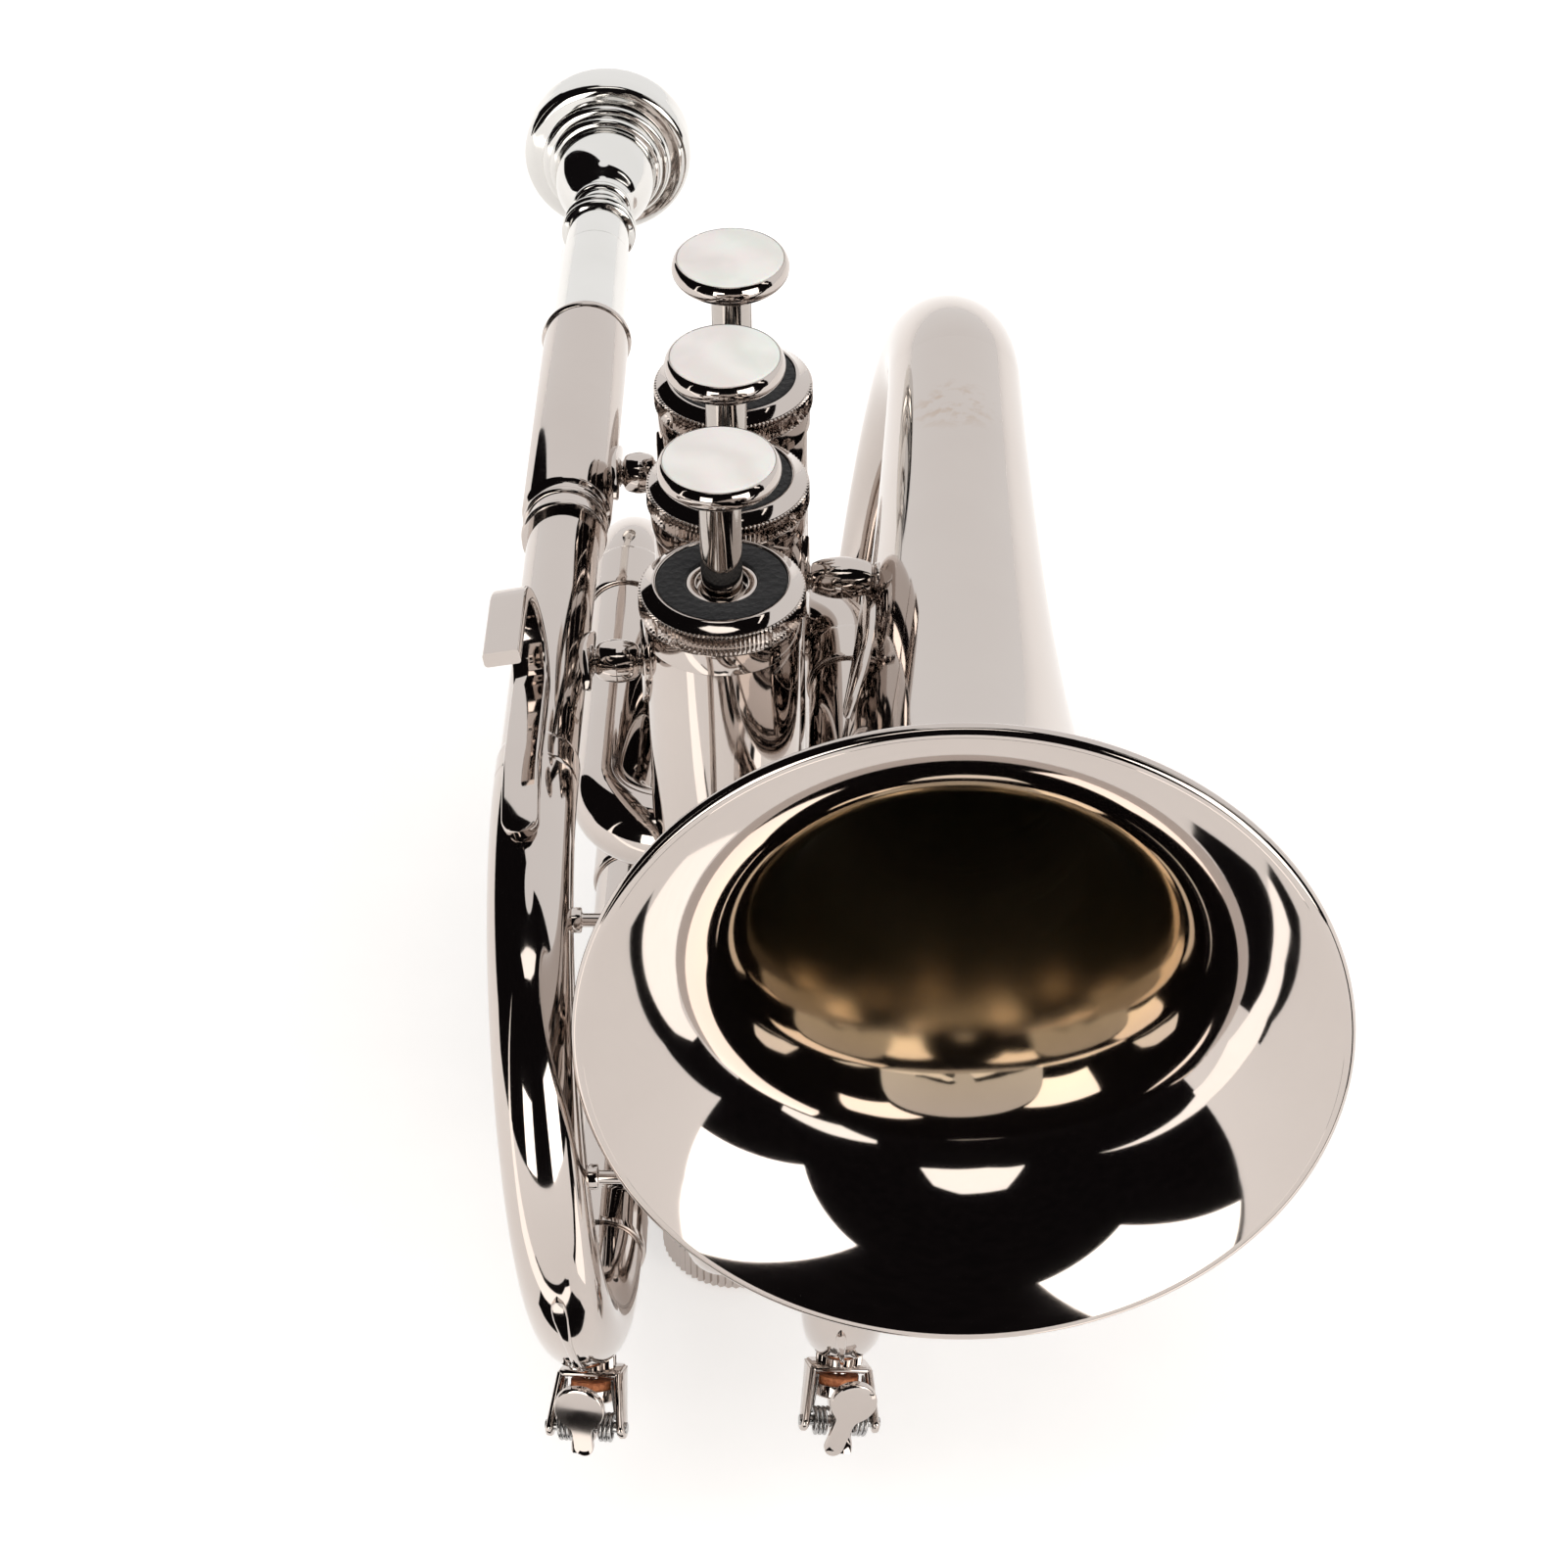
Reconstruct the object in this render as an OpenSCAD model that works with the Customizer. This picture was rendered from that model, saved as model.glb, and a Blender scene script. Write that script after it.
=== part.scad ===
// Compact flugelhorn in B flat, with three bottom-sprung piston valves.
// Millimetres, +Z up along the valves, bell towards -Y, mouthpiece towards +Y.
// Origin: middle of the second valve's bottom cap, on its lower face.
// The tubes lie in a frame of their own, with its origin at the middle of the
// bell's mouth and +Y back along the bell. That frame is canted to the valves.

/* [Assembly] */
// Tilt of the tubes against the valves, in degrees
tube_tilt = 3.81; // [3.6:0.01:4]
// Middle of the bell's mouth, sideways from the valves
bell_x = 33; // [32.8:0.1:34]
// Middle of the bell's mouth, in front of the second valve
bell_y = -100; // [-102:0.5:-99]
// Middle of the bell's mouth, above the bottom caps
bell_z = 109.3; // [108.5:0.1:110]
// Free gap between pieces that meet without touching
rest_gap = 0.3; // [0.25:0.05:0.4]

/* [Bell] */
// Radius of the bell at its mouth
bell_mouth_r = 50.4; // [49:0.1:51]
// Flare exponent: a larger value opens the bell later and faster
bell_flare = 0.557; // [0.55:0.001:0.56]
// Offset of the flare's pole in front of the mouth
bell_pole = 10.4; // [10.2:0.1:10.8]
// Length of the straight part of the bell
bell_length = 164.3; // [160:0.1:166]
// Sheet thickness of the bell
bell_wall = 0.6; // [0.5:0.05:0.7]
// Radius of the wire rolled into the bell's rim
bell_bead_r = 1.05; // [0.9:0.05:1.2]
// Distance between the bell's axis and the lower leg
bell_drop = 80; // [79:0.1:81]
// Sideways lean of the bell's rear bow over its height
bell_bow_side = 14.2; // [13.8:0.1:14.4]
// Tube radius where the rear bow ends and the lower leg begins
leg_back_r = 8; // [7.6:0.1:8.2]
// Further lean of the lower leg towards its front end
leg_side = 1.8; // [1.5:0.1:2]

/* [Tubes] */
// Outer radius of the cylindrical tubes
tube_r = 5.76; // [5.6:0.02:5.8]
// Wall of the cylindrical tubes
tube_wall = 0.5; // [0.4:0.05:0.55]
// Height of a ferrule above the tube it covers
ferrule_rise = 0.6; // [0.4:0.05:0.7]
// Height of the outlet tube above the bottom caps
outlet_z = 82.9; // [82.2:0.1:83.4]
// Front end of the lower leg, behind the bell's mouth
right_bow_y = 48; // [46:0.5:52]
// Sideways place of the left loop's return tube
return_x = -50.5; // [-51:0.1:-50.4]
// Height of the left loop's return tube
return_z = -21; // [-22:0.1:-20.5]
// Sideways place of the left loop's low tube
low_x = -51.1; // [-51.3:0.1:-50.9]
// Height of the left loop's low tube
low_z = -73; // [-74:0.1:-72]
// Rear end of the straight tubes on the left side
left_bow_y = 143; // [140:0.5:146]
// Front end of the straight tubes on the left side
front_bow_y = 43.5; // [42:0.5:45]
// Depth of the sockets in which one tube sits in the next
socket_depth = 6; // [5:0.5:8]

/* [Leadpipe] */
// Sideways place of the leadpipe
lead_x = -57.4; // [-57.8:0.1:-57.2]
// Height of the leadpipe against the bell's axis
lead_z = 9.8; // [9.4:0.1:10.2]
// Outer radius of the leadpipe
lead_r = 5.35; // [5.3:0.01:5.4]
// Wall of the leadpipe
lead_wall = 0.55; // [0.5:0.05:0.7]
// Rear end of the leadpipe inside the sleeve
lead_end_y = 116; // [114:0.5:118]
// Front end of the receiver sleeve
sleeve_y = 105.5; // [104:0.5:107]
// Rear end of the receiver sleeve
sleeve_end_y = 164.5; // [162:0.5:166]
// Outer radius of the receiver sleeve
sleeve_r = 6.6; // [6.5:0.05:6.8]
// Outer radius of the mouthpiece receiver tube
receiver_r = 5.65; // [5.6:0.01:5.7]
// Rear end of the mouthpiece receiver tube
receiver_end_y = 189; // [187:0.5:190]
// Radial gap between the receiver tube and its sleeve
receiver_gap = 0.05; // [0.03:0.01:0.08]

/* [Mouthpiece] */
// Outer radius of the mouthpiece rim
rim_r = 13.8; // [13.5:0.1:14.2]
// Radius of the cup's mouth
cup_r = 8.3; // [8:0.1:8.6]
// Radius of the throat
throat_r = 2; // [1.8:0.1:2.2]
// Length of shank held in the receiver
shank_depth = 22; // [20:0.5:24]
// Radius of the shank where it leaves the receiver
shank_r = 5; // [4.95:0.01:5.02]
// Loss of shank radius per millimetre of depth
shank_taper = 0.025; // [0.02:0.001:0.027]
// Radial gap between the shank and its socket
shank_gap = 0.05; // [0.03:0.01:0.08]

/* [Valves] */
// Clear space between neighbouring casings
casing_gap = 3.5; // [3.3:0.1:4.1]
// Outer radius of a valve casing
casing_r = 10.75; // [10.6:0.05:10.8]
// Radius of a piston
piston_r = 8.5; // [8.4:0.05:8.6]
// Radial gap between a piston and its casing
piston_gap = 0.05; // [0.03:0.01:0.08]
// Wall of a piston's shell
piston_wall = 0.9; // [0.7:0.1:1.1]
// Lower end of a piston at rest
piston_bottom_z = 38; // [37.5:0.1:38.2]
// Distance of a piston's upper end below its casing's end
piston_top_drop = 10; // [8:0.5:12]
// Upper end of a casing
casing_top_z = 122; // [121.8:0.1:122.3]
// Radius of the threaded necks at a casing's ends
neck_r = 10.3; // [10.2:0.05:10.35]
// Radial gap in the caps' threads
thread_gap = 0.05; // [0.03:0.01:0.08]
// Height of a bottom cap
bottom_cap_h = 7.8; // [7.4:0.1:8.2]
// Outer radius over a cap's knurling
knurl_r = 11.68; // [11.5:0.02:11.8]
// Depth of the knurling's teeth
knurl_depth = 0.42; // [0.3:0.02:0.46]
// Number of teeth round a cap
knurl_teeth = 60; // [48:1:64]

/* [Stems and buttons] */
// Radius of a valve stem
stem_r = 2.9; // [2.8:0.05:3]
// Radial gap between a stem and its top cap
stem_gap = 0.07; // [0.05:0.01:0.09]
// Height of the buttons' faces above the casings
button_lift = 27; // [26.8:0.1:28]
// Radius of a button's cup at its widest
button_r = 8.53; // [8.4:0.01:8.6]
// Radius of the pearl inlay
pearl_r = 7.75; // [7.6:0.05:7.8]
// Thickness of the pearl inlay
pearl_h = 1.4; // [1.2:0.1:1.6]
// Height of a button's cup
button_h = 4.3; // [4.1:0.1:4.5]

/* [Valve springs] */
// Coil radius of a valve spring
spring_r = 6.4; // [6:0.1:6.8]
// Wire radius of a valve spring
spring_wire_r = 0.4; // [0.3:0.05:0.5]
// Number of turns of a valve spring
spring_turns = 9; // [7:1:10]

/* [Valve slides] */
// Outer radius of a slide's inner tubes
slide_r = 5.2; // [5.15:0.01:5.2]
// Radial gap between a slide and its outer legs
slide_gap = 0.05; // [0.03:0.01:0.08]
// Upper port of the first and third slides
slide_high_z = 70; // [69:0.5:71]
// Lower port of the first and third slides
slide_low_z = 44; // [43.8:0.1:45]
// Upper port of the second slide
second_high_z = 67; // [66:0.5:68]
// Lower port of the second slide
second_low_z = 45; // [44:0.5:46]
// Height of the knuckles between the casings
knuckle_z = 57; // [56:0.5:58]
// Reach of the first slide's legs from the valve axis
reach_first = 45; // [40:1:48]
// Reach of the second slide's legs from the valve axis
reach_second = 24; // [23:0.5:26]
// Reach of the third slide's legs from the valve axis
reach_third = 33; // [30:1:35]

/* [Braces and hook] */
// Radius of the barrel in the middle of a brace
brace_r = 3.1; // [2.8:0.1:3.4]
// Radius of a brace's neck
brace_neck_r = 1.6; // [1.4:0.1:1.8]
// Thickness of the leaf-shaped flanges
flange_h = 0.8; // [0.6:0.05:1]
// Radius of the thin stays between the left bow and the bell
stay_r = 0.9; // [0.7:0.05:1.1]
// Width of the finger hook's strap
hook_w = 5; // [4.5:0.1:5.5]
// Thickness of the finger hook's strap
hook_h = 2.2; // [2:0.1:2.4]
// Space for the finger under the hook's plate
hook_gap = 12; // [11:0.5:13]
// Sideways lean of the finger hook, in degrees
hook_lean = 10; // [8:0.5:12]

/* [Water keys] */
// Place of a water key round its bow, in degrees forward of straight down
key_angle = 27; // [26:0.5:29]
// Sideways turn of the left key round its tube, in degrees
left_key_turn = 3; // [0:0.5:4]
// Twist of the left key about its nipple, in degrees
left_key_twist = -8; // [-10:1:0]
// Sideways turn of the right key round its tube, in degrees
right_key_turn = 5; // [2:0.5:7]
// Twist of the right key about its nipple, in degrees
right_key_twist = 12; // [6:1:14]
// Half the width over a key bracket's shoulders
bracket_half_w = 4.55; // [4.5:0.05:4.8]
// Outward lean of a key bracket's arms, in degrees
arm_flare = 8; // [6:0.5:10]
// Distance of the hinge pin below the tube
pin_drop = 9; // [8.8:0.1:9.4]
// Distance of the hinge pin in front of the nipple
pin_ahead = 4; // [3.9:0.1:4.3]
// Radius of the hinge pin
pin_r = 0.8; // [0.7:0.05:0.9]
// Radial gap between the hinge pin and the lever
pin_gap = 0.05; // [0.03:0.01:0.08]
// Radius of the cork pad
cork_r = 3.1; // [2.9:0.05:3.15]

/* [Hidden] */
$fn = 64;
sweep_sides = 28;
sweep_rings = 20;
nudge = 0.01;

bell_mouth = [bell_x, bell_y, bell_z];
valve_pitch = 2 * casing_r + casing_gap;
tilt_c = cos(tube_tilt);
tilt_s = sin(tube_tilt);

// Bell radius at a distance behind the mouth.
bell_scale = bell_mouth_r * pow(bell_pole, bell_flare);
function bell_r(y) = bell_scale / pow(y + bell_pole, bell_flare);
bell_end_r = bell_r(bell_length);
bell_steps = [0, 1, 2, 3.2, 4.6, 6.2, 8, 10, 12.5, 15.5, 19, 23, 28, 34, 42, 52, 64, 78, 95, 115, 138];
bell_top = [0, bell_length, 0];
bell_low = [-bell_bow_side, bell_length, -bell_drop];
leg_front = [-bell_bow_side - leg_side, right_bow_y, -bell_drop];
leg_turn = atan(leg_side / (bell_length - right_bow_y));
outlet_x = bell_x + leg_front[0];
outlet_y = bell_y + (right_bow_y + (outlet_z - bell_z) * tilt_s) / tilt_c;
outlet_front = [leg_front[0], right_bow_y, (outlet_z - bell_z + right_bow_y * tilt_s) / tilt_c];

// A tube that turns into a casing's side runs on until its whole end is inside the casing.
port_reach = sqrt(casing_r * casing_r - tube_r * tube_r) - 0.5;
tube_bore_r = tube_r - tube_wall;

// Where a line along the tubes passes a valve, in the tube frame.
function valve_y(n) = (2 - n) * valve_pitch;
function pass_y(n, z) = (valve_y(n) - bell_y - z * tilt_s) / tilt_c;
function port_z(n, z) = bell_z - pass_y(n, z) * tilt_s + z * tilt_c;

inlet_turn = -(return_x + bell_x) - port_reach;
inlet_y = pass_y(3, return_z);
inlet_port_z = port_z(3, return_z);
outlet_turn = outlet_x - port_reach;
outlet_end_y = valve_y(1) - outlet_turn;

lead_front = [lead_x, front_bow_y, lead_z];
low_front = [low_x, front_bow_y, low_z];
low_back = [low_x, left_bow_y, low_z];
return_back = [return_x, left_bow_y, return_z];
sleeve_bore_r = receiver_r + receiver_gap;
sleeve_bead_r = sleeve_r - 0.3;
shank_front_y = receiver_end_y - shank_depth;
shank_front_r = shank_r - shank_depth * shank_taper;

casing_bore_r = piston_r + piston_gap;
casing_bottom_z = 2.5;
cap_skirt_r = neck_r + thread_gap;
cap_rim_z = casing_top_z + 6.5;
felt_floor_z = casing_top_z + 4.8;
felt_h = 1.55;
cap_under_z = casing_top_z + 2.6;
piston_top_z = casing_top_z - piston_top_drop;
button_face_z = casing_top_z + button_lift;
button_low_z = button_face_z - button_h;
stroke = button_low_z - cap_rim_z - 0.7;
spring_floor_z = 1.5;
slide_bore_r = slide_r - tube_wall;
leg_bore_r = slide_r + slide_gap;
slide_stop = 5;

nickel = [0.78, 0.75, 0.72];
silver = [0.85, 0.85, 0.86];
felt_black = [0.09, 0.09, 0.1];
pearl_white = [0.9, 0.89, 0.87];
cork_brown = [0.72, 0.42, 0.25];
steel = [0.7, 0.7, 0.72];

// ---- Placing ----

module tube_frame() {
    translate(bell_mouth)
        rotate([-tube_tilt, 0, 0])
            children();
}

module at_valve(n) {
    translate([0, valve_y(n), 0])
        children();
}

// Puts a revolved or extruded shape with its +Z along +Y.
module along_y() {
    rotate([-90, 0, 0])
        children();
}

module pipe(length, radius, wall) {
    difference() {
        cylinder(h = length, r = radius);
        translate([0, 0, -nudge])
            cylinder(h = length + 2 * nudge, r = radius - wall);
    }
}

module straight(start, length, radius = tube_r, wall = tube_wall) {
    translate(start)
        along_y()
            pipe(length, radius, wall);
}

module ring(start, length, inner_r, outer_r) {
    translate(start)
        along_y()
            difference() {
                cylinder(h = length, r = outer_r);
                translate([0, 0, -nudge])
                    cylinder(h = length + 2 * nudge, r = inner_r);
            }
}

// Frame of a half-round bow that joins two tubes, one above the other:
// its plane holds +Y, and -Z points to the lower tube.
module bow_frame(upper, lower) {
    lean = atan2(upper[0] - lower[0], upper[2] - lower[2]);
    translate((upper + lower) / 2)
        rotate([0, lean, 0])
            children();
}

// Turns the revolving axis to X, with angle 0 straight down and 90 backwards.
module round_x(from) {
    rotate([0, 90, 0])
        rotate([0, 0, from])
            children();
}

module half_bow(upper, lower, from, radius = tube_r, wall = tube_wall) {
    bend_r = norm(upper - lower) / 2;
    bow_frame(upper, lower)
        round_x(from)
            rotate_extrude(angle = 180)
                translate([bend_r, 0])
                    difference() {
                        circle(r = radius);
                        circle(r = radius - wall);
                    }
}

// ---- Bell side ----

function bell_line(rise) = [
    for (y = bell_steps) [bell_r(y) + rise, y]
];

module bell() {
    outer = [for (y = bell_steps) [bell_r(y), y]];
    inner = [for (i = [len(bell_steps) - 1:-1:0]) [bell_r(bell_steps[i]) - bell_wall, bell_steps[i]]];
    ends = [[bell_end_r, bell_length], [bell_end_r - bell_wall, bell_length]];
    bead_y = bell_bead_r;
    color(nickel)
        tube_frame()
            along_y()
                rotate_extrude($fn = 128)
                    union() {
                        polygon(concat(outer, ends, inner));
                        translate([bell_mouth_r - bell_bead_r, bead_y])
                            circle(r = bell_bead_r, $fn = 24);
                    }
}

// A half-round bow whose tube grows or shrinks evenly from one end to the other.
module tapered_bow(upper, lower, upper_r, lower_r, wall) {
    bend_r = norm(upper - lower) / 2;
    middle = (upper + lower) / 2;
    up = (upper - lower) / (2 * bend_r);
    back = [0, 1, 0];
    side = cross(up, back);
    function spoke(i) = cos(180 * i / sweep_rings) * up + sin(180 * i / sweep_rings) * back;
    function size(i) = upper_r + (lower_r - upper_r) * i / sweep_rings;
    function skin(i, k, r) = middle + bend_r * spoke(i)
        + r * (cos(360 * k / sweep_sides) * spoke(i) + sin(360 * k / sweep_sides) * side);
    outer = [
        for (i = [0:sweep_rings])
            for (k = [0:sweep_sides - 1])
                skin(i, k, size(i))
    ];
    inner = [
        for (i = [0:sweep_rings])
            for (k = [0:sweep_sides - 1])
                skin(i, k, size(i) - wall)
    ];
    count = len(outer);
    function at(i, k) = i * sweep_sides + k % sweep_sides;
    skins = [
        for (i = [0:sweep_rings - 1])
            for (k = [0:sweep_sides - 1])
                for (face = [
                    [at(i, k), at(i, k + 1), at(i + 1, k)],
                    [at(i, k + 1), at(i + 1, k + 1), at(i + 1, k)],
                    [count + at(i, k), count + at(i + 1, k), count + at(i, k + 1)],
                    [count + at(i, k + 1), count + at(i + 1, k), count + at(i + 1, k + 1)]
                ])
                    face
    ];
    ends = [
        for (k = [0:sweep_sides - 1])
            for (face = [
                [at(0, k), count + at(0, k), at(0, k + 1)],
                [at(0, k + 1), count + at(0, k), count + at(0, k + 1)],
                [at(sweep_rings, k), at(sweep_rings, k + 1), count + at(sweep_rings, k)],
                [at(sweep_rings, k + 1), count + at(sweep_rings, k + 1), count + at(sweep_rings, k)]
            ])
                face
    ];
    polyhedron(points = concat(outer, inner), faces = concat(skins, ends), convexity = 6);
}

module bell_bow() {
    color(nickel)
        tube_frame()
            tapered_bow(bell_top, bell_low, bell_end_r, leg_back_r, bell_wall);
}

// Ring over the joint between the rear bow and the lower leg.
module bell_ferrule() {
    length = 9;
    color(nickel)
        tube_frame()
            ring(bell_low - [0, length - 1, 0], length - 1, leg_back_r, leg_back_r + ferrule_rise);
}

module lower_leg() {
    length = norm(bell_low - leg_front);
    color(nickel)
        tube_frame()
            translate(bell_low)
                rotate([0, 0, -leg_turn])
                    rotate([90, 0, 0])
                        difference() {
                            cylinder(h = length, r1 = leg_back_r, r2 = tube_r);
                            translate([0, 0, -nudge])
                                cylinder(
                                    h = length + 2 * nudge,
                                    r1 = leg_back_r - tube_wall,
                                    r2 = tube_bore_r
                                );
                        }
}

module right_front_bow() {
    color(nickel)
        tube_frame()
            difference() {
                half_bow(outlet_front, leg_front, -180);
                right_key_frame()
                    key_drain();
            }
}

// Cuts a tube's end to the round of a casing.
module saddle_cut(n) {
    at_valve(n)
        cylinder(h = casing_top_z, r = casing_r);
}

// The front bow is canted, so the level tube behind it has a slanted end.
module outlet_tube() {
    color(nickel)
        difference() {
            straight([outlet_x, outlet_y - 1, outlet_z], outlet_end_y - outlet_y + 1);
            tube_frame()
                translate([leg_front[0] - 20, right_bow_y - 20, outlet_front[2] - 20])
                    cube([40, 20, 40]);
        }
}

// Quarter bend from a tube along Y into a casing's side.
module elbow(bend_r, from) {
    rotate([0, 0, from])
        rotate_extrude(angle = 90)
            translate([bend_r, 0])
                difference() {
                    circle(r = tube_r);
                    circle(r = tube_bore_r);
                }
}

module outlet_elbow() {
    color(nickel)
        difference() {
            translate([port_reach, outlet_end_y, outlet_z])
                elbow(outlet_turn, 0);
            saddle_cut(1);
        }
}

module right_ferrules() {
    length = 8;
    color(nickel)
        for (y = [outlet_y + rest_gap, outlet_end_y - length])
            ring([outlet_x, y, outlet_z], length, tube_r, tube_r + ferrule_rise);
}

// Solid of the bell's outside, drawn in by a depth.
module bell_solid(depth) {
    along_y()
        rotate_extrude($fn = 128)
            polygon(concat([[0, 0]], bell_line(-depth), [[0, bell_steps[len(bell_steps) - 1]]]));
}

stay_y = [22, 4];
stay_z = [4, -25];

module bell_stays() {
    lean = atan2(lead_x - low_x, lead_z - low_z);
    color(nickel)
        tube_frame()
            for (i = [0:1]) {
                bow_x = low_x + (stay_z[i] - low_z) * tan(lean) + tube_r / cos(lean) + nudge;
                skin_x = -sqrt(pow(bell_r(stay_y[i]), 2) - stay_z[i] * stay_z[i]);
                difference() {
                    translate([bow_x, stay_y[i], stay_z[i]])
                        rotate([0, 90, 0])
                            union() {
                                cylinder(h = skin_x - bow_x + 4, r = stay_r);
                                cylinder(h = 1.4, r = stay_r + 0.8);
                            }
                    bell_solid(0);
                }
            }
}

// ---- Leadpipe side ----

module leadpipe() {
    color(nickel)
        tube_frame()
            straight(lead_front, lead_end_y - front_bow_y, lead_r, lead_wall);
}

module receiver_sleeve() {
    outline = [
        [lead_r, sleeve_y], [sleeve_bead_r - 0.3, sleeve_y],
        [sleeve_bead_r, sleeve_y + 0.6], [sleeve_bead_r, sleeve_y + 1.6],
        [sleeve_bead_r - 0.5, sleeve_y + 2.2],
        [sleeve_bead_r - 0.5, sleeve_y + 3.4],
        [sleeve_bead_r, sleeve_y + 4], [sleeve_bead_r, sleeve_y + 5],
        [sleeve_bead_r - 0.5, sleeve_y + 5.6],
        [sleeve_bead_r - 0.5, sleeve_y + 6.6],
        [sleeve_r, sleeve_y + 7.4],
        [sleeve_r, sleeve_end_y - 1.6],
        [sleeve_r + 0.4, sleeve_end_y - 1.3],
        [sleeve_r + 0.4, sleeve_end_y - 0.3],
        [sleeve_r + 0.1, sleeve_end_y],
        [sleeve_bore_r, sleeve_end_y],
        [sleeve_bore_r, sleeve_y + 8],
        [lead_r, sleeve_y + 8]
    ];
    color(nickel)
        tube_frame()
            translate([lead_x, 0, lead_z])
                along_y()
                    rotate_extrude()
                        polygon(outline);
}

module mouthpiece_receiver() {
    front_y = lead_end_y + 3;
    bore_r = lead_r - lead_wall - 0.3;
    outline = [
        [bore_r, front_y],
        [receiver_r, front_y],
        [receiver_r, receiver_end_y - 0.3],
        [receiver_r - 0.2, receiver_end_y],
        [shank_r + shank_gap, receiver_end_y],
        [shank_front_r + shank_gap, shank_front_y - rest_gap],
        [bore_r, shank_front_y - 2]
    ];
    color(silver)
        tube_frame()
            translate([lead_x, 0, lead_z])
                along_y()
                    rotate_extrude()
                        polygon(outline);
}

// Offsets along the mouthpiece count from the receiver's rear end.
module mouthpiece() {
    face = 43;
    outline = [
        [shank_front_r - 0.6, -shank_depth],
        [shank_front_r, -shank_depth],
        [shank_r, 0],
        [shank_r + 0.1, 8.4],
        [shank_r + 0.8, 8.8], [shank_r + 1, 9.3], [shank_r + 0.8, 9.8],
        [shank_r + 0.4, 10.1],
        [shank_r + 0.8, 10.4], [shank_r + 1, 10.9], [shank_r + 0.7, 11.5],
        [shank_r - 0.2, 12], [shank_r - 0.75, 13.6], [shank_r - 0.85, 16.4],
        [shank_r - 0.15, 16.8], [shank_r - 0.15, 17.8],
        [shank_r - 0.7, 18.2], [shank_r - 0.3, 19.2],
        [6.3, 20.8], [7.4, 23], [8.1, 25.6], [8.4, 28.4], [8.3, 30],
        [9.1, 30.3], [9.4, 31], [9.1, 31.7],
        [10.3, 32.1], [10.7, 32.8], [10.4, 33.6],
        [12.4, 34], [rim_r - 0.3, 34.6], [rim_r, 35.6],
        [rim_r, 39.6], [rim_r - 0.5, 41.3], [rim_r - 1.6, 42.5],
        [rim_r - 3, face], [cup_r + 1, face - 0.1],
        [cup_r + 0.3, face - 0.7], [cup_r, face - 1.8],
        [cup_r - 0.5, face - 5], [cup_r - 1.4, face - 9],
        [cup_r - 2.9, face - 13], [throat_r + 1.2, face - 16.5],
        [throat_r, face - 19], [throat_r, face - 23],
        [throat_r + 0.8, face - 40]
    ];
    color(silver)
        tube_frame()
            translate([lead_x, receiver_end_y, lead_z])
                along_y()
                    rotate_extrude()
                        polygon(outline);
}

module left_front_bow() {
    color(nickel)
        tube_frame()
            difference() {
                half_bow(lead_front, low_front, -180);
                left_key_frame()
                    key_drain();
            }
}

// Side view of the hook: a strap along the bow's back, bent up and forwards again.
module hook_profile(strap_z, bow_z, tip_y) {
    turn_y = 57;
    turn_r = hook_gap / 2;
    plate_y = 44;
    intersection() {
        translate([front_bow_y, bow_z])
            difference() {
                circle(r = strap_z - bow_z + hook_h, $fn = 180);
                circle(r = strap_z - bow_z, $fn = 180);
            }
        translate([tip_y - hook_w, 0])
            square([front_bow_y - tip_y + hook_w, 40]);
    }
    translate([front_bow_y, strap_z])
        square([turn_y - front_bow_y, hook_h]);
    translate([turn_y, strap_z + hook_h + turn_r])
        intersection() {
            difference() {
                circle(r = turn_r + hook_h);
                circle(r = turn_r);
            }
            translate([0, -20])
                square([20, 40]);
        }
    translate([plate_y, strap_z + hook_h + hook_gap])
        square([turn_y - plate_y, hook_h]);
}

module finger_hook() {
    strap_z = lead_z + tube_r + 0.15;
    bow_z = (lead_z + low_z) / 2;
    tip_y = 29;
    color(nickel)
        tube_frame()
            translate([lead_x, 0, lead_z])
                rotate([0, -hook_lean, 0])
                    translate([0, 0, -lead_z])
                        intersection() {
                            rotate([90, 0, 90])
                                linear_extrude(height = hook_w, center = true)
                                    hook_profile(strap_z, bow_z, tip_y);
                            union() {
                                translate([0, tip_y, 0])
                                    cylinder(h = 60, r = 0.54 * hook_w);
                                translate([-hook_w, tip_y, 0])
                                    cube([2 * hook_w, 60, 60]);
                            }
                        }
}

module left_low_tube() {
    color(nickel)
        tube_frame()
            straight(low_front, left_bow_y - front_bow_y);
}

module left_rear_bow() {
    color(nickel)
        tube_frame()
            half_bow(return_back, low_back, 0);
}

module inlet_tube() {
    turn_y = inlet_y + inlet_turn;
    color(nickel)
        tube_frame()
            straight([return_x, turn_y, return_z], left_bow_y - turn_y);
}

module inlet_elbow() {
    color(nickel)
        difference() {
            tube_frame()
                translate([return_x + inlet_turn, inlet_y + inlet_turn, return_z])
                    elbow(inlet_turn, 180);
            saddle_cut(3);
        }
}

module left_ferrules() {
    length = 10;
    color(nickel)
        tube_frame() {
            ring(lead_front, socket_depth, lead_r, tube_r);
            ring(low_front, 8, tube_r, tube_r + ferrule_rise);
            ring(low_back - [0, length, 0], length, tube_r, tube_r + ferrule_rise);
            ring(return_back - [0, length, 0], length, tube_r, tube_r + ferrule_rise);
        }
}

// ---- Valves ----

// Port directions: 0 right, 90 back, 180 left, 270 front.
function valve_ports(n) =
    n == 1 ? [[0, outlet_z], [90, slide_high_z], [90, slide_low_z], [270, knuckle_z]] :
    n == 2 ? [[0, second_high_z], [0, second_low_z], [90, knuckle_z], [270, knuckle_z]] :
             [[180, inlet_port_z], [270, slide_high_z], [270, slide_low_z], [90, knuckle_z]];

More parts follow.
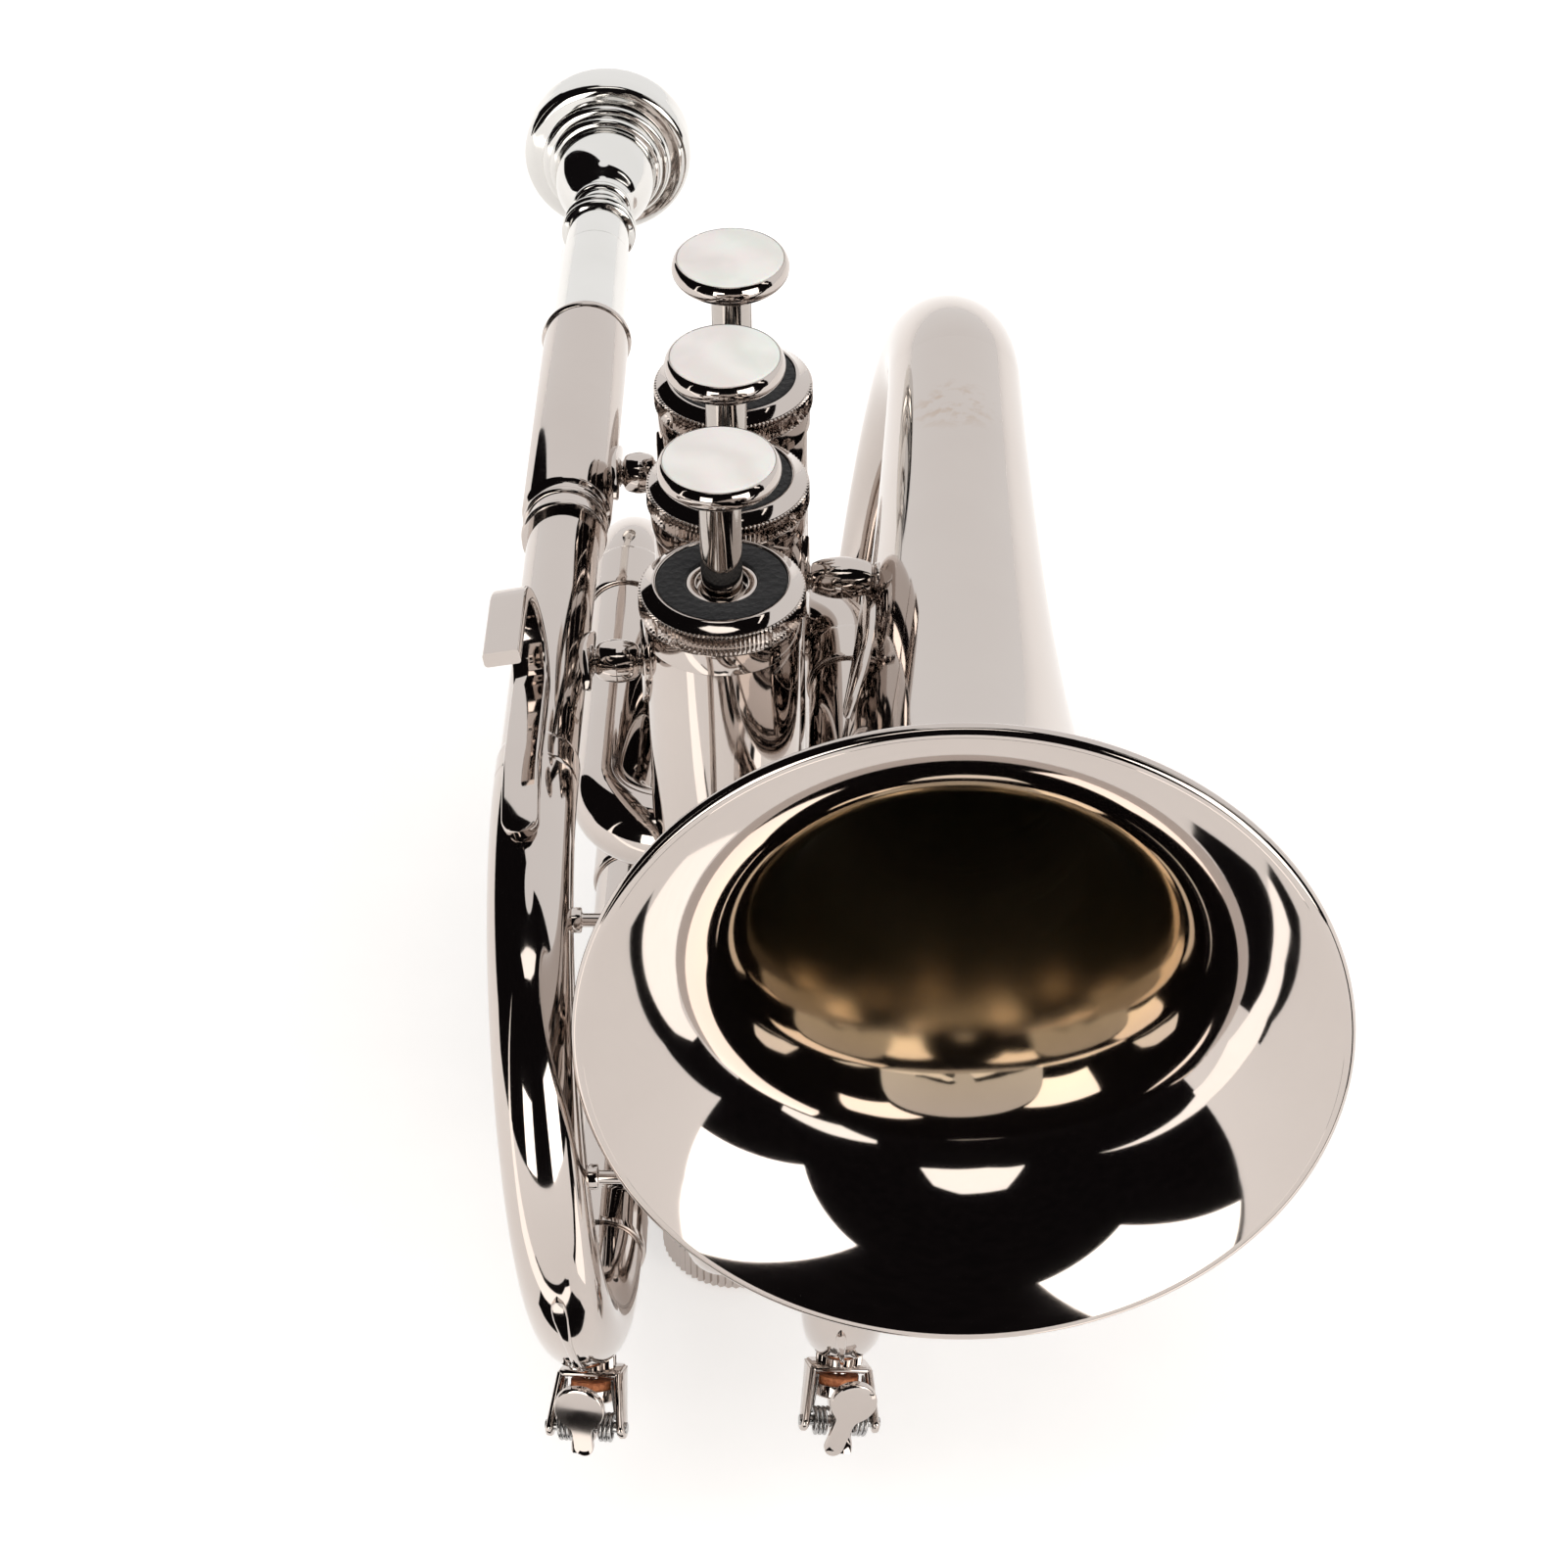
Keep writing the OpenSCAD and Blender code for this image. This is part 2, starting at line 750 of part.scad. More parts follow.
module port_bores(n, radius) {
    for (port = valve_ports(n))
        translate([0, 0, port[1]])
            rotate([0, 90, port[0]])
                cylinder(h = casing_r + 1, r = radius);
}

module casing(n) {
    at_valve(n)
        difference() {
            union() {
                translate([0, 0, casing_bottom_z])
                    cylinder(h = casing_top_z - casing_bottom_z, r = neck_r);
                translate([0, 0, bottom_cap_h])
                    cylinder(h = casing_top_z - 1.8 - bottom_cap_h, r = casing_r);
            }
            cylinder(h = casing_top_z + 1, r = casing_bore_r);
            port_bores(n, slide_bore_r);
        }
}

module casing_1() {
    color(nickel)
        casing(1);
}

module casing_2() {
    color(nickel)
        casing(2);
}

module casing_3() {
    color(nickel)
        casing(3);
}

// Straight triangular teeth round a cap.
module knurl(low_z, height, inner_r) {
    points = [
        for (i = [0:2 * knurl_teeth - 1])
            let (r = knurl_r - (i % 2) * knurl_depth)
                [r * cos(180 * i / knurl_teeth), r * sin(180 * i / knurl_teeth)]
    ];
    translate([0, 0, low_z])
        linear_extrude(height = height)
            difference() {
                polygon(points);
                circle(r = inner_r);
            }
}

module top_caps() {
    skirt_z = casing_top_z - 1.8;
    knurl_z = casing_top_z + 1.8;
    knurl_h = 1.9;
    root_r = knurl_r - knurl_depth - 0.2;
    outline = [
        [cap_skirt_r, skirt_z],
        [root_r - 0.06, skirt_z],
        [root_r, knurl_z + knurl_h],
        [root_r + 0.25, knurl_z + knurl_h],
        [knurl_r - 1.7, cap_rim_z - 0.2],
        [knurl_r - 1.9, cap_rim_z],
        [9.5, cap_rim_z],
        [9.5, felt_floor_z],
        [5.14, felt_floor_z],
        [5.14, cap_rim_z + 0.3],
        [4.9, cap_rim_z + 0.4],
        [4.4, cap_rim_z + 0.3],
        [4.4, cap_rim_z - 1.4],
        [stem_r + stem_gap, cap_rim_z - 1.6],
        [stem_r + stem_gap, cap_under_z],
        [casing_bore_r - 0.3, cap_under_z],
        [casing_bore_r - 0.3, casing_top_z],
        [cap_skirt_r, casing_top_z]
    ];
    color(nickel)
        for (n = [1:3])
            at_valve(n) {
                rotate_extrude()
                    polygon(outline);
                knurl(knurl_z, knurl_h, root_r - 0.3);
            }
}

module bottom_caps() {
    knurl_z = 1.2;
    knurl_h = 5.2;
    root_r = knurl_r - knurl_depth - 0.2;
    outline = [
        [0, 0],
        [knurl_r - 1.8, 0],
        [root_r, knurl_z],
        [root_r, knurl_z + knurl_h],
        [root_r - 0.1, bottom_cap_h],
        [cap_skirt_r, bottom_cap_h],
        [cap_skirt_r, casing_bottom_z],
        [casing_bore_r - 0.3, casing_bottom_z],
        [casing_bore_r - 0.3, spring_floor_z],
        [0, spring_floor_z]
    ];
    color(nickel)
        for (n = [1:3])
            at_valve(n)
                difference() {
                    union() {
                        rotate_extrude()
                            polygon(outline);
                        knurl(knurl_z, knurl_h, root_r - 0.3);
                    }
                    for (turn = [0, 120, 240])
                        rotate([0, 0, turn])
                            translate([4.5, 0, -1])
                                cylinder(h = 4, r = 0.9, $fn = 24);
                }
}

module cap_felts() {
    color(felt_black)
        for (n = [1:3])
            at_valve(n)
                translate([0, 0, felt_floor_z])
                    difference() {
                        cylinder(h = felt_h, r = 9.4);
                        translate([0, 0, -1])
                            cylinder(h = felt_h + 2, r = 5.24);
                    }
}

// Short tubes that carry the air from one casing to the next.
module knuckles() {
    color(nickel)
        for (n = [2:3])
            difference() {
                translate([0, valve_y(n), knuckle_z])
                    along_y()
                        cylinder(h = valve_pitch, r = tube_r);
                translate([0, valve_y(n) - 1, knuckle_z])
                    along_y()
                        cylinder(h = valve_pitch + 2, r = tube_bore_r);
                saddle_cut(n);
                saddle_cut(n - 1);
            }
}

// Thin shell with end plates and three air passages soldered across it.
module piston(n) {
    passages = [[0, outlet_z], [90, slide_high_z - 3], [0, slide_low_z + 2]];
    passage_r = 4.6;
    passage_wall = 0.6;
    plate_h = 1.2;
    height = piston_top_z - piston_bottom_z;
    at_valve(n)
        difference() {
            union() {
                translate([0, 0, piston_bottom_z])
                    difference() {
                        cylinder(h = height, r = piston_r);
                        translate([0, 0, plate_h])
                            cylinder(h = height - 2 * plate_h, r = piston_r - piston_wall);
                    }
                intersection() {
                    translate([0, 0, piston_bottom_z])
                        cylinder(h = height, r = piston_r - piston_wall / 2);
                    for (p = passages)
                        translate([0, 0, p[1]])
                            rotate([0, 90, p[0]])
                                translate([0, 0, -piston_r])
                                    cylinder(h = 2 * piston_r, r = passage_r + passage_wall);
                }
            }
            for (p = passages)
                translate([0, 0, p[1]])
                    rotate([0, 90, p[0]])
                        translate([0, 0, -piston_r - 1])
                            cylinder(h = 2 * piston_r + 2, r = passage_r);
        }
}

module piston_1() {
    color(steel)
        piston(1);
}

module piston_2() {
    color(steel)
        piston(2);
}

module piston_3() {
    color(steel)
        piston(3);
}

// Rod with the collar that stops the piston against its top cap.
module stem(n) {
    outline = [
        [0, piston_top_z],
        [5, piston_top_z],
        [5, piston_top_z + 1.6],
        [stem_r, piston_top_z + 2.2],
        [stem_r, cap_under_z - 3.4],
        [7.2, cap_under_z - 3.4],
        [7.2, cap_under_z - rest_gap],
        [stem_r, cap_under_z - rest_gap],
        [stem_r, button_low_z - 1],
        [0, button_low_z - 1]
    ];
    at_valve(n)
        rotate_extrude()
            polygon(outline);
}

module stem_1() {
    color(steel)
        stem(1);
}

module stem_2() {
    color(steel)
        stem(2);
}

module stem_3() {
    color(steel)
        stem(3);
}

module button(n) {
    outline = [
        [0, button_low_z - 1],
        [3.9, button_low_z - 1],
        [4, button_low_z],
        [5.2, button_low_z],
        [6.9, button_low_z + 0.4],
        [8, button_low_z + 1.2],
        [button_r, button_low_z + 2.2],
        [button_r, button_low_z + 2.8],
        [button_r - 0.2, button_face_z - 0.7],
        [button_r - 0.45, button_face_z - 0.1],
        [pearl_r + 0.04, button_face_z - 0.1],
        [pearl_r + 0.04, button_face_z - pearl_h],
        [0, button_face_z - pearl_h]
    ];
    at_valve(n)
        rotate_extrude()
            polygon(outline);
}

module button_1() {
    color(nickel)
        button(1);
}

module button_2() {
    color(nickel)
        button(2);
}

module button_3() {
    color(nickel)
        button(3);
}

module pearl(n) {
    at_valve(n)
        translate([0, 0, button_face_z - pearl_h])
            rotate_extrude()
                polygon([[0, 0], [pearl_r, 0], [pearl_r, pearl_h - 0.2], [pearl_r - 0.3, pearl_h], [0, pearl_h]]);
}

module pearl_1() {
    color(pearl_white)
        pearl(1);
}

module pearl_2() {
    color(pearl_white)
        pearl(2);
}

module pearl_3() {
    color(pearl_white)
        pearl(3);
}

// Round wire wound in an even helix about +Z.
module coil(coil_r, wire_r, turns, height, per_turn = 16, sides = 6) {
    last = turns * per_turn;
    points = [
        for (i = [0:last])
            for (k = [0:sides - 1])
                let (
                    turn = 360 * i / per_turn,
                    r = coil_r + wire_r * cos(360 * k / sides),
                    z = wire_r + (height - 2 * wire_r) * i / last + wire_r * sin(360 * k / sides)
                )
                    [r * cos(turn), r * sin(turn), z]
    ];
    function at(i, k) = i * sides + k % sides;
    faces = concat(
        [[for (k = [0:sides - 1]) k]],
        [[for (k = [sides - 1:-1:0]) at(last, k)]],
        [
            for (i = [0:last - 1])
                for (k = [0:sides - 1])
                    for (face = [
                        [at(i, k), at(i + 1, k), at(i, k + 1)],
                        [at(i, k + 1), at(i + 1, k), at(i + 1, k + 1)]
                    ])
                        face
        ]
    );
    polyhedron(points = points, faces = faces, convexity = 10);
}

module valve_spring(n) {
    at_valve(n)
        translate([0, 0, spring_floor_z])
            coil(spring_r, spring_wire_r, spring_turns, piston_bottom_z - rest_gap - spring_floor_z);
}

module valve_spring_1() {
    color(steel)
        valve_spring(1);
}

module valve_spring_2() {
    color(steel)
        valve_spring(2);
}

module valve_spring_3() {
    color(steel)
        valve_spring(3);
}

// ---- Valve slides ----

// Slide frame: +X leads out of the casing, Z stays up.
module slide_frame(n, turn) {
    at_valve(n)
        rotate([0, 0, turn])
            children();
}

module slide_legs(n, turn, reach, high_z, low_z) {
    difference() {
        slide_frame(n, turn)
            for (z = [high_z, low_z])
                translate([0, 0, z])
                    rotate([0, 90, 0])
                        difference() {
                            cylinder(h = reach, r = tube_r);
                            translate([0, 0, -1])
                                cylinder(h = reach + 2, r = leg_bore_r);
                        }
        saddle_cut(n);
    }
}

module valve_slide(n, turn, reach, high_z, low_z) {
    start = casing_r + 1;
    stop_x = reach + rest_gap;
    bend_r = (high_z - low_z) / 2;
    slide_frame(n, turn) {
        for (z = [high_z, low_z])
            translate([start, 0, z])
                rotate([0, 90, 0])
                    difference() {
                        union() {
                            cylinder(h = stop_x + slide_stop - start, r = slide_r);
                            translate([0, 0, stop_x - start])
                                cylinder(h = slide_stop, r = tube_r);
                        }
                        translate([0, 0, -1])
                            cylinder(h = stop_x + slide_stop - start + 2, r = slide_bore_r);
                    }
        translate([stop_x + slide_stop, 0, (high_z + low_z) / 2])
            rotate([90, 0, 0])
                rotate([0, 0, -90])
                    rotate_extrude(angle = 180)
                        translate([bend_r, 0])
                            difference() {
                                circle(r = slide_r);
                                circle(r = slide_bore_r);
                            }
    }
}

module slide_legs_1() {
    color(nickel)
        slide_legs(1, 90, reach_first, slide_high_z, slide_low_z);
}

module slide_legs_2() {
    color(nickel)
        slide_legs(2, 0, reach_second, second_high_z, second_low_z);
}

module slide_legs_3() {
    color(nickel)
        slide_legs(3, 270, reach_third, slide_high_z, slide_low_z);
}

module valve_slide_1() {
    color(nickel)
        valve_slide(1, 90, reach_first, slide_high_z, slide_low_z);
}

module valve_slide_2() {
    color(nickel)
        valve_slide(2, 0, reach_second, second_high_z, second_low_z);
}

module valve_slide_3() {
    color(nickel)
        valve_slide(3, 270, reach_third, slide_high_z, slide_low_z);
}

// ---- Braces ----

// Leaf outline standing up along its own Y, pointed at both ends.
module leaf(length, width) {
    arc_r = (length * length + width * width) / (4 * width);
    intersection() {
        translate([arc_r - width / 2, 0])
            circle(r = arc_r, $fn = 96);
        translate([width / 2 - arc_r, 0])
            circle(r = arc_r, $fn = 96);
    }
}

// Turned spindle along +X from 0, thick in the middle, with a ring at each end.
module spindle(length) {
    half = length / 2;
    rotate([0, 90, 0])
        rotate_extrude()
            polygon([
                [0, 0], [brace_neck_r + 0.7, 0], [brace_neck_r + 0.7, 0.8],
                [brace_neck_r, 1.2], [brace_neck_r, 1.5],
                [brace_r - 0.5, half - 1.6], [brace_r, half - 0.7],
                [brace_r, half + 0.7], [brace_r - 0.5, half + 1.6],
                [brace_neck_r, length - 1.5], [brace_neck_r, length - 1.2],
                [brace_neck_r + 0.7, length - 0.8], [brace_neck_r + 0.7, length], [0, length]
            ]);
}

// Leaf-shaped plate bent round a cylinder of the given radius, on its -X or +X side.
module casing_flange(side, length, width) {
    intersection() {
        difference() {
            cylinder(h = length, r = casing_r + flange_h, center = true);
            cylinder(h = length + 2, r = casing_r, center = true);
        }
        rotate([0, side * 90, 0])
            rotate([0, 0, 90])
                linear_extrude(height = casing_r + 2)
                    rotate([0, 0, 90])
                        leaf(length, width);
    }
}

module left_brace(n, tube_surface_r) {
    z = port_z(n, lead_z);
    start = lead_x + bell_x + tube_surface_r;
    length = -casing_r - start;
    translate([0, valve_y(n), z]) {
        translate([start, 0, 0])
            spindle(length);
        casing_flange(-1, 15, 7);
        translate([lead_x + bell_x, 0, 0])
            rotate([-tube_tilt, 0, 0])
                intersection() {
                    rotate([90, 0, 0])
                        difference() {
                            cylinder(h = 15, r = tube_surface_r + flange_h, center = true);
                            cylinder(h = 17, r = tube_surface_r, center = true);
                        }
                    rotate([0, 90, 0])
                        linear_extrude(height = tube_surface_r + 2)
                            leaf(14, 6);
                }
    }
}

module left_braces() {
    color(nickel) {
        left_brace(3, lead_r);
        left_brace(1, sleeve_r);
    }
}

module right_brace() {
    brace_z = 7.5;
    rows = [for (y = bell_steps) if (y > 60 && y < 120) y];
    plate_from = rows[0] + 0.5;
    plate_to = rows[len(rows) - 1] - 0.5;
    brace_y = pass_y(2, brace_z);
    skin_x = -sqrt(pow(bell_r(brace_y), 2) - brace_z * brace_z);
    shell = concat(
        [for (y = rows) [bell_r(y) + flange_h, y]],
        [for (i = [len(rows) - 1:-1:0]) [bell_r(rows[i]), rows[i]]]
    );
    color(nickel) {
        difference() {
            translate([casing_r, 0, port_z(2, brace_z)])
                spindle(bell_x + skin_x + 1.5 - casing_r);
            tube_frame()
                bell_solid(0);
        }
        translate([0, 0, port_z(2, brace_z)])
            casing_flange(1, 15, 7);
        tube_frame()
            intersection() {
                along_y()
                    rotate_extrude($fn = 96)
                        polygon(shell);
                translate([0, (plate_from + plate_to) / 2, 3.5])
                    rotate([-8, 0, 0])
                        rotate([0, -90, 0])
                            linear_extrude(height = 30)
                                leaf(plate_to - plate_from, 9);
            }
    }
}

// ---- Water keys ----

// Key frame: origin on the skin of the bow where the key sits, -Z straight
// out of the bow, -Y forwards, X across.
module key_frame(upper, lower, turn, twist) {
    bend_r = norm(upper - lower) / 2;
    bow_frame(upper, lower)
        rotate([-key_angle, 0, 0])
            translate([0, 0, -bend_r])
                rotate([0, turn, 0])
                    translate([0, 0, -tube_r])
                        rotate([0, 0, twist])
                            children();
}

module left_key_frame() {
    key_frame(lead_front, low_front, left_key_turn, left_key_twist)
        children();
}

module right_key_frame() {
    key_frame(outlet_front, leg_front, right_key_turn, right_key_twist)
        children();
}

module key_drain() {
    translate([0, 0, -1])
        cylinder(h = 3, r = 1.1, $fn = 24);
}

bracket_z = -2.4;
bracket_h = 1;
arm_w = 1;
arm_tip_r = 1.7;
nipple_tip_z = -2.8;
cork_top_z = nipple_tip_z - rest_gap;
cup_top_z = cork_top_z - 1.1;
cup_h = 2;
cup_wall = 0.4;
pin_half_w = bracket_half_w + (pin_drop + bracket_z + bracket_h) * tan(arm_flare) + 0.4;

// Arm of the bracket, from its shoulder down to the pin.
module key_arm(side) {
    shoulder_z = bracket_z + bracket_h;
    translate([side * (bracket_half_w - arm_w / 2), 0, shoulder_z])
        rotate([0, -side * arm_flare, 0])
            rotate([90, 0, 90])
                linear_extrude(height = arm_w, center = true) {
                    polygon([
                        [-2.4, -0.35],
                        [2.4, -0.35],
                        [-pin_ahead + arm_tip_r, -pin_drop - shoulder_z],
                        [-pin_ahead - arm_tip_r, -pin_drop - shoulder_z]
                    ]);
                    translate([-pin_ahead, -pin_drop - shoulder_z])
                        circle(r = arm_tip_r, $fn = 32);
                }
}

// Strap soldered along the front of the bow, from one angle on to another.
module key_strap(upper, lower, from, to, width, height) {
    bend_r = norm(upper - lower) / 2;
    bow_frame(upper, lower)
        round_x(-to)
            rotate_extrude(angle = to - from)
                translate([bend_r + tube_r - 0.4, -width / 2])
                    square([0.4 + height, width]);
}

module key_bracket(upper, lower, turn, twist, leaf_end, leaf_w) {
    serrations = 22;
    collar_r = 3.4;
    collar = [
        for (i = [0:2 * serrations - 1])
            let (r = collar_r - (i % 2) * 0.4)
                [r * cos(180 * i / serrations), r * sin(180 * i / serrations)]
    ];
    difference() {
        union() {
            key_frame(upper, lower, turn, twist)
                difference() {
                    union() {
                        translate([0, 0, bracket_z + bracket_h - nudge])
                            linear_extrude(height = 3)
                                polygon(collar);
                        translate([0, 0, nipple_tip_z])
                            cylinder(h = 3, r = 1.8, $fn = 32);
                        translate([-bracket_half_w, -2.6, bracket_z])
                            cube([2 * bracket_half_w, 5.2, bracket_h]);
                        for (side = [-1, 1])
                            key_arm(side);
                    }
                    translate([0, 0, -5])
                        cylinder(h = 12, r = 1.1, $fn = 24);
                    translate([-2 * bracket_half_w, -pin_ahead, -pin_drop])
                        rotate([0, 90, 0])
                            cylinder(h = 4 * bracket_half_w, r = pin_r, $fn = 24);
                }
            key_strap(upper, lower, key_angle + 3, leaf_end - 14, leaf_w / 2, 0.5);
            key_strap(upper, lower, leaf_end - 14.5, leaf_end, leaf_w, 0.6);
        }
        bow_frame(upper, lower)
            rotate([0, 90, 0])
                rotate_extrude()
                    translate([norm(upper - lower) / 2, 0])
                        circle(r = tube_r);
    }
}

// Lever: hub on the pin, cork cup behind it, and in front of it a spoon for
// the thumb. The spoon's stem stands at a root; its bowl's middle is above.
module key_lever(root, spoon_h, spoon_r, slant) {
    hub_half_w = 1.3;
    hub_r = 1.9;
    stem_half_w = 1.4;
    cup_low_z = cup_top_z - cup_h;
    lean = 20;
    difference() {
        union() {
            translate([-hub_half_w, -pin_ahead, -pin_drop])
                rotate([0, 90, 0])
                    cylinder(h = 2 * hub_half_w, r = hub_r, $fn = 32);
            translate([-hub_half_w + 0.1, 0, 0])
                rotate([90, 0, 90])
                    linear_extrude(height = 2 * hub_half_w - 0.2)
                        polygon([
                            [-pin_ahead - 0.6, -pin_drop + 1.2],
                            [-2, cup_low_z + 0.6],
                            [0.5, cup_low_z + 0.6],
                            [0.5, cup_low_z - 0.8],
                            [-pin_ahead + 1.2, -pin_drop - 1.2],
                            [root[1], root[2] - 0.9],
                            [root[1], root[2] + 0.7]
                        ]);
            translate([0, 0, cup_low_z])
                cylinder(h = cup_h, r = cork_r + cup_wall, $fn = 40);
            translate(root)
                rotate([90 + lean, 0, 0])
                    rotate([0, 0, -slant])
                        linear_extrude(height = 1, center = true) {
                            translate([0, spoon_h])
                                circle(r = spoon_r, $fn = 48);
                            circle(r = stem_half_w, $fn = 32);
                            polygon([
                                [-stem_half_w, 0], [stem_half_w, 0],
                                [stem_half_w + 0.3, spoon_h - spoon_r],
                                [stem_half_w + 1.1, spoon_h - spoon_r + 1.2],
                                [-stem_half_w - 1.1, spoon_h - spoon_r + 1.2],
                                [-stem_half_w - 0.3, spoon_h - spoon_r]
                            ]);
                        }
        }
        translate([-3, -pin_ahead, -pin_drop])
            rotate([0, 90, 0])
                cylinder(h = 6, r = pin_r + pin_gap, $fn = 24);
        translate([0, 0, cup_low_z + 0.7])
            cylinder(h = cup_h, r = cork_r, $fn = 40);
    }
}

module key_cork() {
    cork_low_z = cup_top_z - cup_h + 0.7;
    translate([0, 0, cork_low_z])
        cylinder(h = cork_top_z - cork_low_z, r = cork_r, $fn = 40);
}

module key_pin() {
    translate([-pin_half_w, -pin_ahead, -pin_drop])
        rotate([0, 90, 0])
            cylinder(h = 2 * pin_half_w, r = pin_r, $fn = 24);
}

module key_springs() {
    coil_h = 2.3;
    for (start = [1.55, -1.55 - coil_h])
        translate([start, -pin_ahead, -pin_drop])
            rotate([0, 90, 0])
                coil(1.9, 0.33, 3, coil_h, 12, 5);
}

module left_key_bracket() {
    color(nickel)
        tube_frame()
            key_bracket(lead_front, low_front, left_key_turn, left_key_twist, 79, 2.1);
}

module left_key_lever() {
    color(nickel)
        tube_frame()
            left_key_frame()
                key_lever([0.7, -8.5, -10.7], 6.6, 3.6, 0);
}

module left_key_cork() {
    color(cork_brown)
        tube_frame()
            left_key_frame()
                key_cork();
}

module left_key_pin() {
    color(steel)
        tube_frame()
            left_key_frame()
                key_pin();
}

module left_key_springs() {
    color(steel)
        tube_frame()
            left_key_frame()
                key_springs();
}

module right_key_bracket() {
    color(nickel)
        tube_frame()
            key_bracket(outlet_front, leg_front, right_key_turn, right_key_twist, 70, 1.5);
}

module right_key_lever() {
    color(nickel)
        tube_frame()
            right_key_frame()
                key_lever([-1.5, -8.5, -11.6], 8.2, 3.4, 12);
}

module right_key_cork() {
    color(cork_brown)
        tube_frame()
            right_key_frame()
                key_cork();
}

module right_key_pin() {
    color(steel)
        tube_frame()
            right_key_frame()
                key_pin();
}

module right_key_springs() {
    color(steel)
        tube_frame()
            right_key_frame()
                key_springs();
}

bell();
bell_bow();
bell_ferrule();
lower_leg();
right_front_bow();
outlet_tube();
outlet_elbow();
right_ferrules();
bell_stays();
mouthpiece();
mouthpiece_receiver();
receiver_sleeve();
leadpipe();
finger_hook();
left_front_bow();
left_low_tube();
left_rear_bow();
inlet_tube();
inlet_elbow();
left_ferrules();
casing_1();
casing_2();
casing_3();
top_caps();
bottom_caps();
cap_felts();
knuckles();
piston_1();
piston_2();
piston_3();
stem_1();
stem_2();
stem_3();
button_1();
button_2();
button_3();
pearl_1();
pearl_2();
pearl_3();
valve_spring_1();
valve_spring_2();
valve_spring_3();
slide_legs_1();
slide_legs_2();
slide_legs_3();
valve_slide_1();
valve_slide_2();
valve_slide_3();
left_braces();
right_brace();
left_key_bracket();
left_key_lever();
left_key_cork();
left_key_pin();
left_key_springs();
right_key_bracket();
right_key_lever();
right_key_cork();
right_key_pin();
right_key_springs();
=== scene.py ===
# Compact flugelhorn in bright nickel plate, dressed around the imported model.
from math import atan2, cos, pi, radians, sin, sqrt

import bmesh
import bpy
from mathutils import Matrix, Vector


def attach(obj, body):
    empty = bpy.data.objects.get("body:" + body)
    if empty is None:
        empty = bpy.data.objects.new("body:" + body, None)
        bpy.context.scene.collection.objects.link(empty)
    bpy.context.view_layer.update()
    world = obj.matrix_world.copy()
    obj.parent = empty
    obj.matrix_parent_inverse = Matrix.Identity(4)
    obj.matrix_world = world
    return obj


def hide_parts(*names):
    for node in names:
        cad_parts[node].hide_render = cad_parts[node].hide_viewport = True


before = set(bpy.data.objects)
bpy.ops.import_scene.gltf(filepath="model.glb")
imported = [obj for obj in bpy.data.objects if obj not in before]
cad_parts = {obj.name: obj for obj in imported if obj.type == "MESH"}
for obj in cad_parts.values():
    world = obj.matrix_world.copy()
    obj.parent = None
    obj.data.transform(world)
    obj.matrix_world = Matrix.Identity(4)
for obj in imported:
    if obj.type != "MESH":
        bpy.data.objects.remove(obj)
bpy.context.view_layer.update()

# ---- Table, studio and camera ----
# A white paper sweep under the horn. Two tall softboxes stand beside it and one hangs over it.
# Black velvet behind the camera, boards and cards give the metal its dark and pale bands.


def linear(code):
    """sRGB hex to linear RGBA."""
    parts = [int(code[i:i + 2], 16) / 255 for i in (1, 3, 5)]
    return tuple(p / 12.92 if p <= 0.04045 else ((p + 0.055) / 1.055) ** 2.4 for p in parts) + (1.0,)


def add(tree, kind, values=None, links=None, stops=(), **settings):
    """Adds a node, sets its sockets, properties and colour stops, and links its inputs, each to a
    socket or to a node's first output."""
    made = tree.nodes.new(kind)
    for key, value in settings.items():
        setattr(made, key, value)
    for key, value in (values or {}).items():
        made.inputs[key].default_value = value
    for key, source in (links or {}).items():
        tree.links.new(source.outputs[0] if isinstance(source, bpy.types.Node) else source, made.inputs[key])
    for i, (place, code) in enumerate(stops):
        stop = made.color_ramp.elements[i] if i < 2 else made.color_ramp.elements.new(place)
        stop.position = place
        stop.color = linear(code)
    return made


def new_material(name):
    """Empty node material of the given name."""
    material = bpy.data.materials.new(name)
    material.use_nodes = True
    material.node_tree.nodes.clear()
    return material, material.node_tree


scene = bpy.context.scene
scene.view_settings.view_transform = "Standard"


def put_up(name, points, faces, material, metal_only=True):
    """Sheet of the studio, in metres. metal_only leaves it to the metal's reflections alone."""
    mesh = bpy.data.meshes.new(name)
    mesh.from_pydata(points, [], faces)
    mesh.materials.append(material)
    sheet = bpy.data.objects.new(name, mesh)
    scene.collection.objects.link(sheet)
    for ray in ("camera", "diffuse", "shadow", "transmission") if metal_only else ():
        setattr(sheet, "visible_" + ray, False)


# Matt paper with fibres about 1 mm apart. It glows a little where it is seen straight or in the
# metal, so it looks white there, and gives the horn no light of its own.
paper, tree = new_material("white_paper_sweep")
fibres = add(tree, "ShaderNodeTexNoise", {"Scale": 900.0, "Detail": 3.0})
tint = add(tree, "ShaderNodeValToRGB", links={"Fac": fibres}, stops=((0, "#F2F1F0"), (1, "#F6F5F4")))
matt = add(tree, "ShaderNodeBsdfDiffuse", {"Roughness": 1.0}, {"Color": tint})
glow = add(tree, "ShaderNodeEmission", {"Color": (1, 1, 1, 1), "Strength": 0.31})
eye = add(tree, "ShaderNodeLightPath")
seen = add(tree, "ShaderNodeMath", links={0: eye.outputs["Is Camera Ray"], 1: eye.outputs["Is Glossy Ray"]},
           operation="MAXIMUM")
none = add(tree, "ShaderNodeEmission", {"Color": (0, 0, 0, 1), "Strength": 0.0})
lift = add(tree, "ShaderNodeMixShader", links={0: seen, 1: none, 2: glow})
